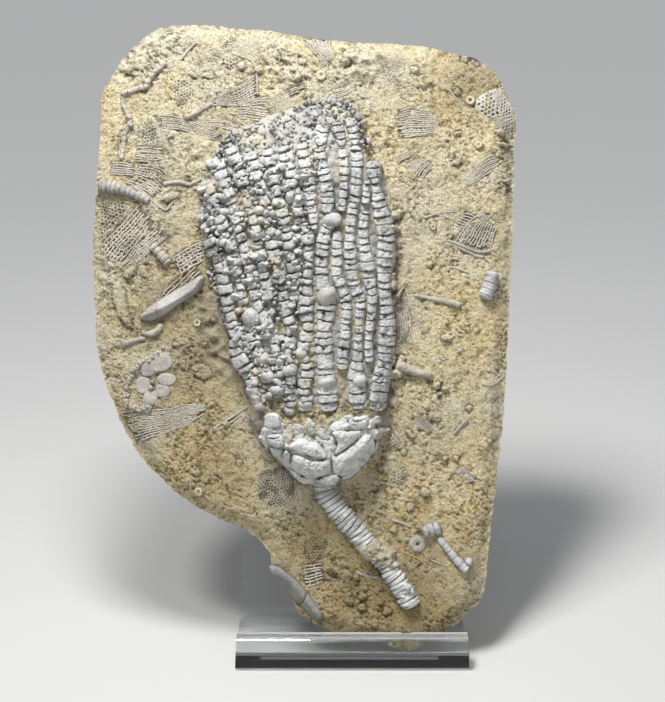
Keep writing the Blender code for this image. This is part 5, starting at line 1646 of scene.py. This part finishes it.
# Kinds of fossil calcite: pale crowns, body, deep joints, stain, roughness.
CALCITES = {
    "fossil_calcite": ((0.57, 0.57, 0.545), (0.455, 0.455, 0.44), (0.24, 0.24, 0.23),
        (0.52, 0.42, 0.24), 0.7),
    "crown_crust": ((0.40, 0.39, 0.35), (0.28, 0.275, 0.25), (0.14, 0.135, 0.12), (0.46, 0.38, 0.24), 0.8),
    "dusty_tips": ((0.44, 0.435, 0.415), (0.365, 0.36, 0.34), (0.25, 0.245, 0.23), (0.47, 0.43, 0.34), 0.75),
    "pale_calcite": ((0.68, 0.68, 0.65), (0.545, 0.545, 0.525), (0.29, 0.29, 0.275),
        (0.56, 0.47, 0.29), 0.7),
    "grey_calcite": ((0.47, 0.455, 0.42), (0.36, 0.35, 0.325), (0.22, 0.21, 0.19), (0.50, 0.36, 0.15), 0.65),
    "violet_shell": ((0.47, 0.45, 0.42), (0.35, 0.33, 0.31), (0.24, 0.225, 0.21), (0.50, 0.36, 0.15), 0.5),
    "lace_calcite": ((0.55, 0.50, 0.42), (0.44, 0.40, 0.335), (0.28, 0.25, 0.20), (0.55, 0.38, 0.14), 0.7),
    "pale_net": ((0.55, 0.52, 0.445), (0.46, 0.43, 0.365), (0.35, 0.32, 0.26), (0.52, 0.42, 0.24), 0.75),
    "dusty_calcite": ((0.50, 0.47, 0.39), (0.38, 0.355, 0.295), (0.21, 0.19, 0.155),
        (0.50, 0.36, 0.15), 0.75),
    "rosy_plates": ((0.50, 0.455, 0.41), (0.39, 0.355, 0.315), (0.28, 0.25, 0.22), (0.50, 0.36, 0.15), 0.6),
    "dark_shell": ((0.34, 0.33, 0.31), (0.25, 0.245, 0.23), (0.16, 0.155, 0.145), (0.42, 0.33, 0.16), 0.5),
}


def calcite_material(name):
    """Fossil calcite: pale crowns, a greyer body, painted shade in its joints and hollows, and a stain where
    painted.
    """
    pale, body_colour, deep_colour, stain_colour, roughness = CALCITES[name]
    made, tree, shader = nodes_of(name)
    place = add_node(tree, "ShaderNodeTexCoord").outputs["Object"]
    broad = noise_value(tree, place, 5.0, 3.0, 0.6)
    grain = noise_value(tree, place, 0.5, 4.0, 0.7)
    pores = noise_value(tree, place, 0.22, 2.0, 0.5)
    shade = maths(tree, "ADD", maths(tree, "MULTIPLY", broad, 0.5), maths(tree, "MULTIPLY", grain, 0.5))
    body = ramp(tree, shade, [(0.38, deep_colour), (0.47, body_colour), (0.60, pale)])
    body = blend(tree, ramp(tree, pores, [(0.34, 0.6), (0.46, 0.0)]), body, deep_colour)
    # Painted shade in joints, seams and hollows, near black where deepest.
    ragged = maths(tree, "MULTIPLY", maths(tree, "SUBTRACT", grain, 0.5), 0.8)
    hollow_shade = ramp(tree, maths(tree, "ADD", attribute(tree, "crevice"), ragged), [(0.22, 0.0), (0.80, 0.95)])
    body = blend(tree, hollow_shade, body, (0.062, 0.055, 0.042))
    stained = maths(tree, "MULTIPLY", attribute(tree, "stain"), maths(tree, "MULTIPLY", grain, 1.5))
    body = blend(tree, stained, body, stain_colour)
    lift = maths(tree, "ADD", maths(tree, "MULTIPLY", grain, 0.6), maths(tree, "MULTIPLY", pores, 0.4))
    dress(tree, shader, body, lift, roughness, 0.25, 0.8, 0.00025)
    return made


def acrylic_material():
    """Clear polished acrylic."""
    made, tree, shader = nodes_of("clear_acrylic")
    shader.inputs["Base Color"].default_value = (0.97, 0.99, 0.985, 1.0)
    shader.inputs["Roughness"].default_value = 0.03
    shader.inputs["IOR"].default_value = 1.49
    shader.inputs["Transmission Weight"].default_value = 1.0
    return made


def floor_material():
    made, tree, shader = nodes_of("pale_floor")
    shader.inputs["Base Color"].default_value = (0.60, 0.595, 0.58, 1.0)
    shader.inputs["Roughness"].default_value = 0.8
    return made


# ---------------------------------------------------------------- camera, light and floor

# Each light: kind, place in the slab's millimetres, size (metres, or radians for the sun) and power.
LIGHTS = (
    ("key", "AREA", (-45.0, 285.0, 130.0), 0.07, 0.74),
    ("sky", "SUN", (-120.0, 380.0, 230.0), 0.20, 1.22),
    ("fill", "AREA", (150.0, 100.0, 420.0), 0.35, 0.16),
)
LIGHT_TARGET = (-5.0, 75.0, 0.0)
FLOOR_DROP = 0.0003              # the stand's underside and the floor keep a hair's gap
FLOOR_REACH = 3.0


def make_camera():
    """The camera at the view's angle, square to the slab's face."""
    camera = link("camera", bpy.data.cameras.new("camera"))
    camera.data.lens = 85.0
    camera.data.sensor_width = 36.0
    camera.data.clip_start = 0.01
    distance = PIXEL_MM * VIEW_HEIGHT_PX * camera.data.lens / camera.data.sensor_width
    centre = at(VIEW_CENTRE_PX)[0]
    camera.location = Vector(to_world([(centre.x, centre.y, distance)])[0])
    camera.rotation_euler = (math.pi / 2 - LEAN, 0.0, 0.0)
    bpy.context.scene.camera = camera


def make_lights():
    """Soft studio light."""
    target = Vector(to_world([LIGHT_TARGET])[0])
    for name, kind, place, size, power in LIGHTS:
        light = link(name, bpy.data.lights.new(name, kind))
        light.data.energy = power
        if kind == "SUN":
            light.data.angle = size
        else:
            light.data.size = size
        light.location = Vector(to_world([place])[0])
        light.rotation_euler = (target - light.location).to_track_quat("-Z", "Y").to_euler()
    world = bpy.data.worlds.new("studio")
    world.use_nodes = True
    world.node_tree.nodes["Background"].inputs["Color"].default_value = (0.80, 0.83, 0.88, 1.0)
    world.node_tree.nodes["Background"].inputs["Strength"].default_value = 0.42
    bpy.context.scene.world = world
    bpy.context.scene.view_settings.view_transform = "Standard"


def make_floor():
    mesh = bpy.data.meshes.new("floor")
    corners = ((-FLOOR_REACH, -FLOOR_REACH), (FLOOR_REACH, -FLOOR_REACH), (FLOOR_REACH, FLOOR_REACH),
               (-FLOOR_REACH, FLOOR_REACH))
    mesh.from_pydata([(x, y, -FLOOR_DROP) for x, y in corners], [], [(0, 1, 2, 3)])
    mesh.materials.append(floor_material())
    floor = link("floor", mesh)


def make_stand():
    """The stand's own solid, in clear acrylic with polished edges."""
    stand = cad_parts["display_stand"]
    acrylic = acrylic_material()
    for material_slot in stand.material_slots:
        material_slot.material = acrylic
    polish = stand.modifiers.new("polished_edges", "BEVEL")
    polish.width = 0.0006
    polish.segments = 3
    polish.limit_method = "ANGLE"
    polish.angle_limit = math.radians(40.0)


make_camera()
make_lights()
make_floor()
FINISHES = {name: calcite_material(name) for name in CALCITES}
FINISHES["sandy_limestone"] = stone_material()
make_face()
plans = arm_plans()
for arm in ARMS:
    make_arm(arm, plans, arm)
for arm in SHORT_ARMS:
    make_arm(arm, plans)
make_crust("crown_crust", 155, 450, "crown_crust")
make_crust("crown_tip_crust", 100, 205, "dusty_tips")
make_rubble(plans)
make_cup()
make_stem()
make_field("crown_foot", FOOT, 0.5, 0.22, foot_shape, "sandy_limestone")
make_rods()
make_shell("shell_splinter")
make_rosette()
make_shell("shell_on_rim")
make_discs()
make_field("relief_net_plate", NET_PLATE, 0.3, 0.15, net_shape, "pale_net")
make_small_relief()
make_stand()
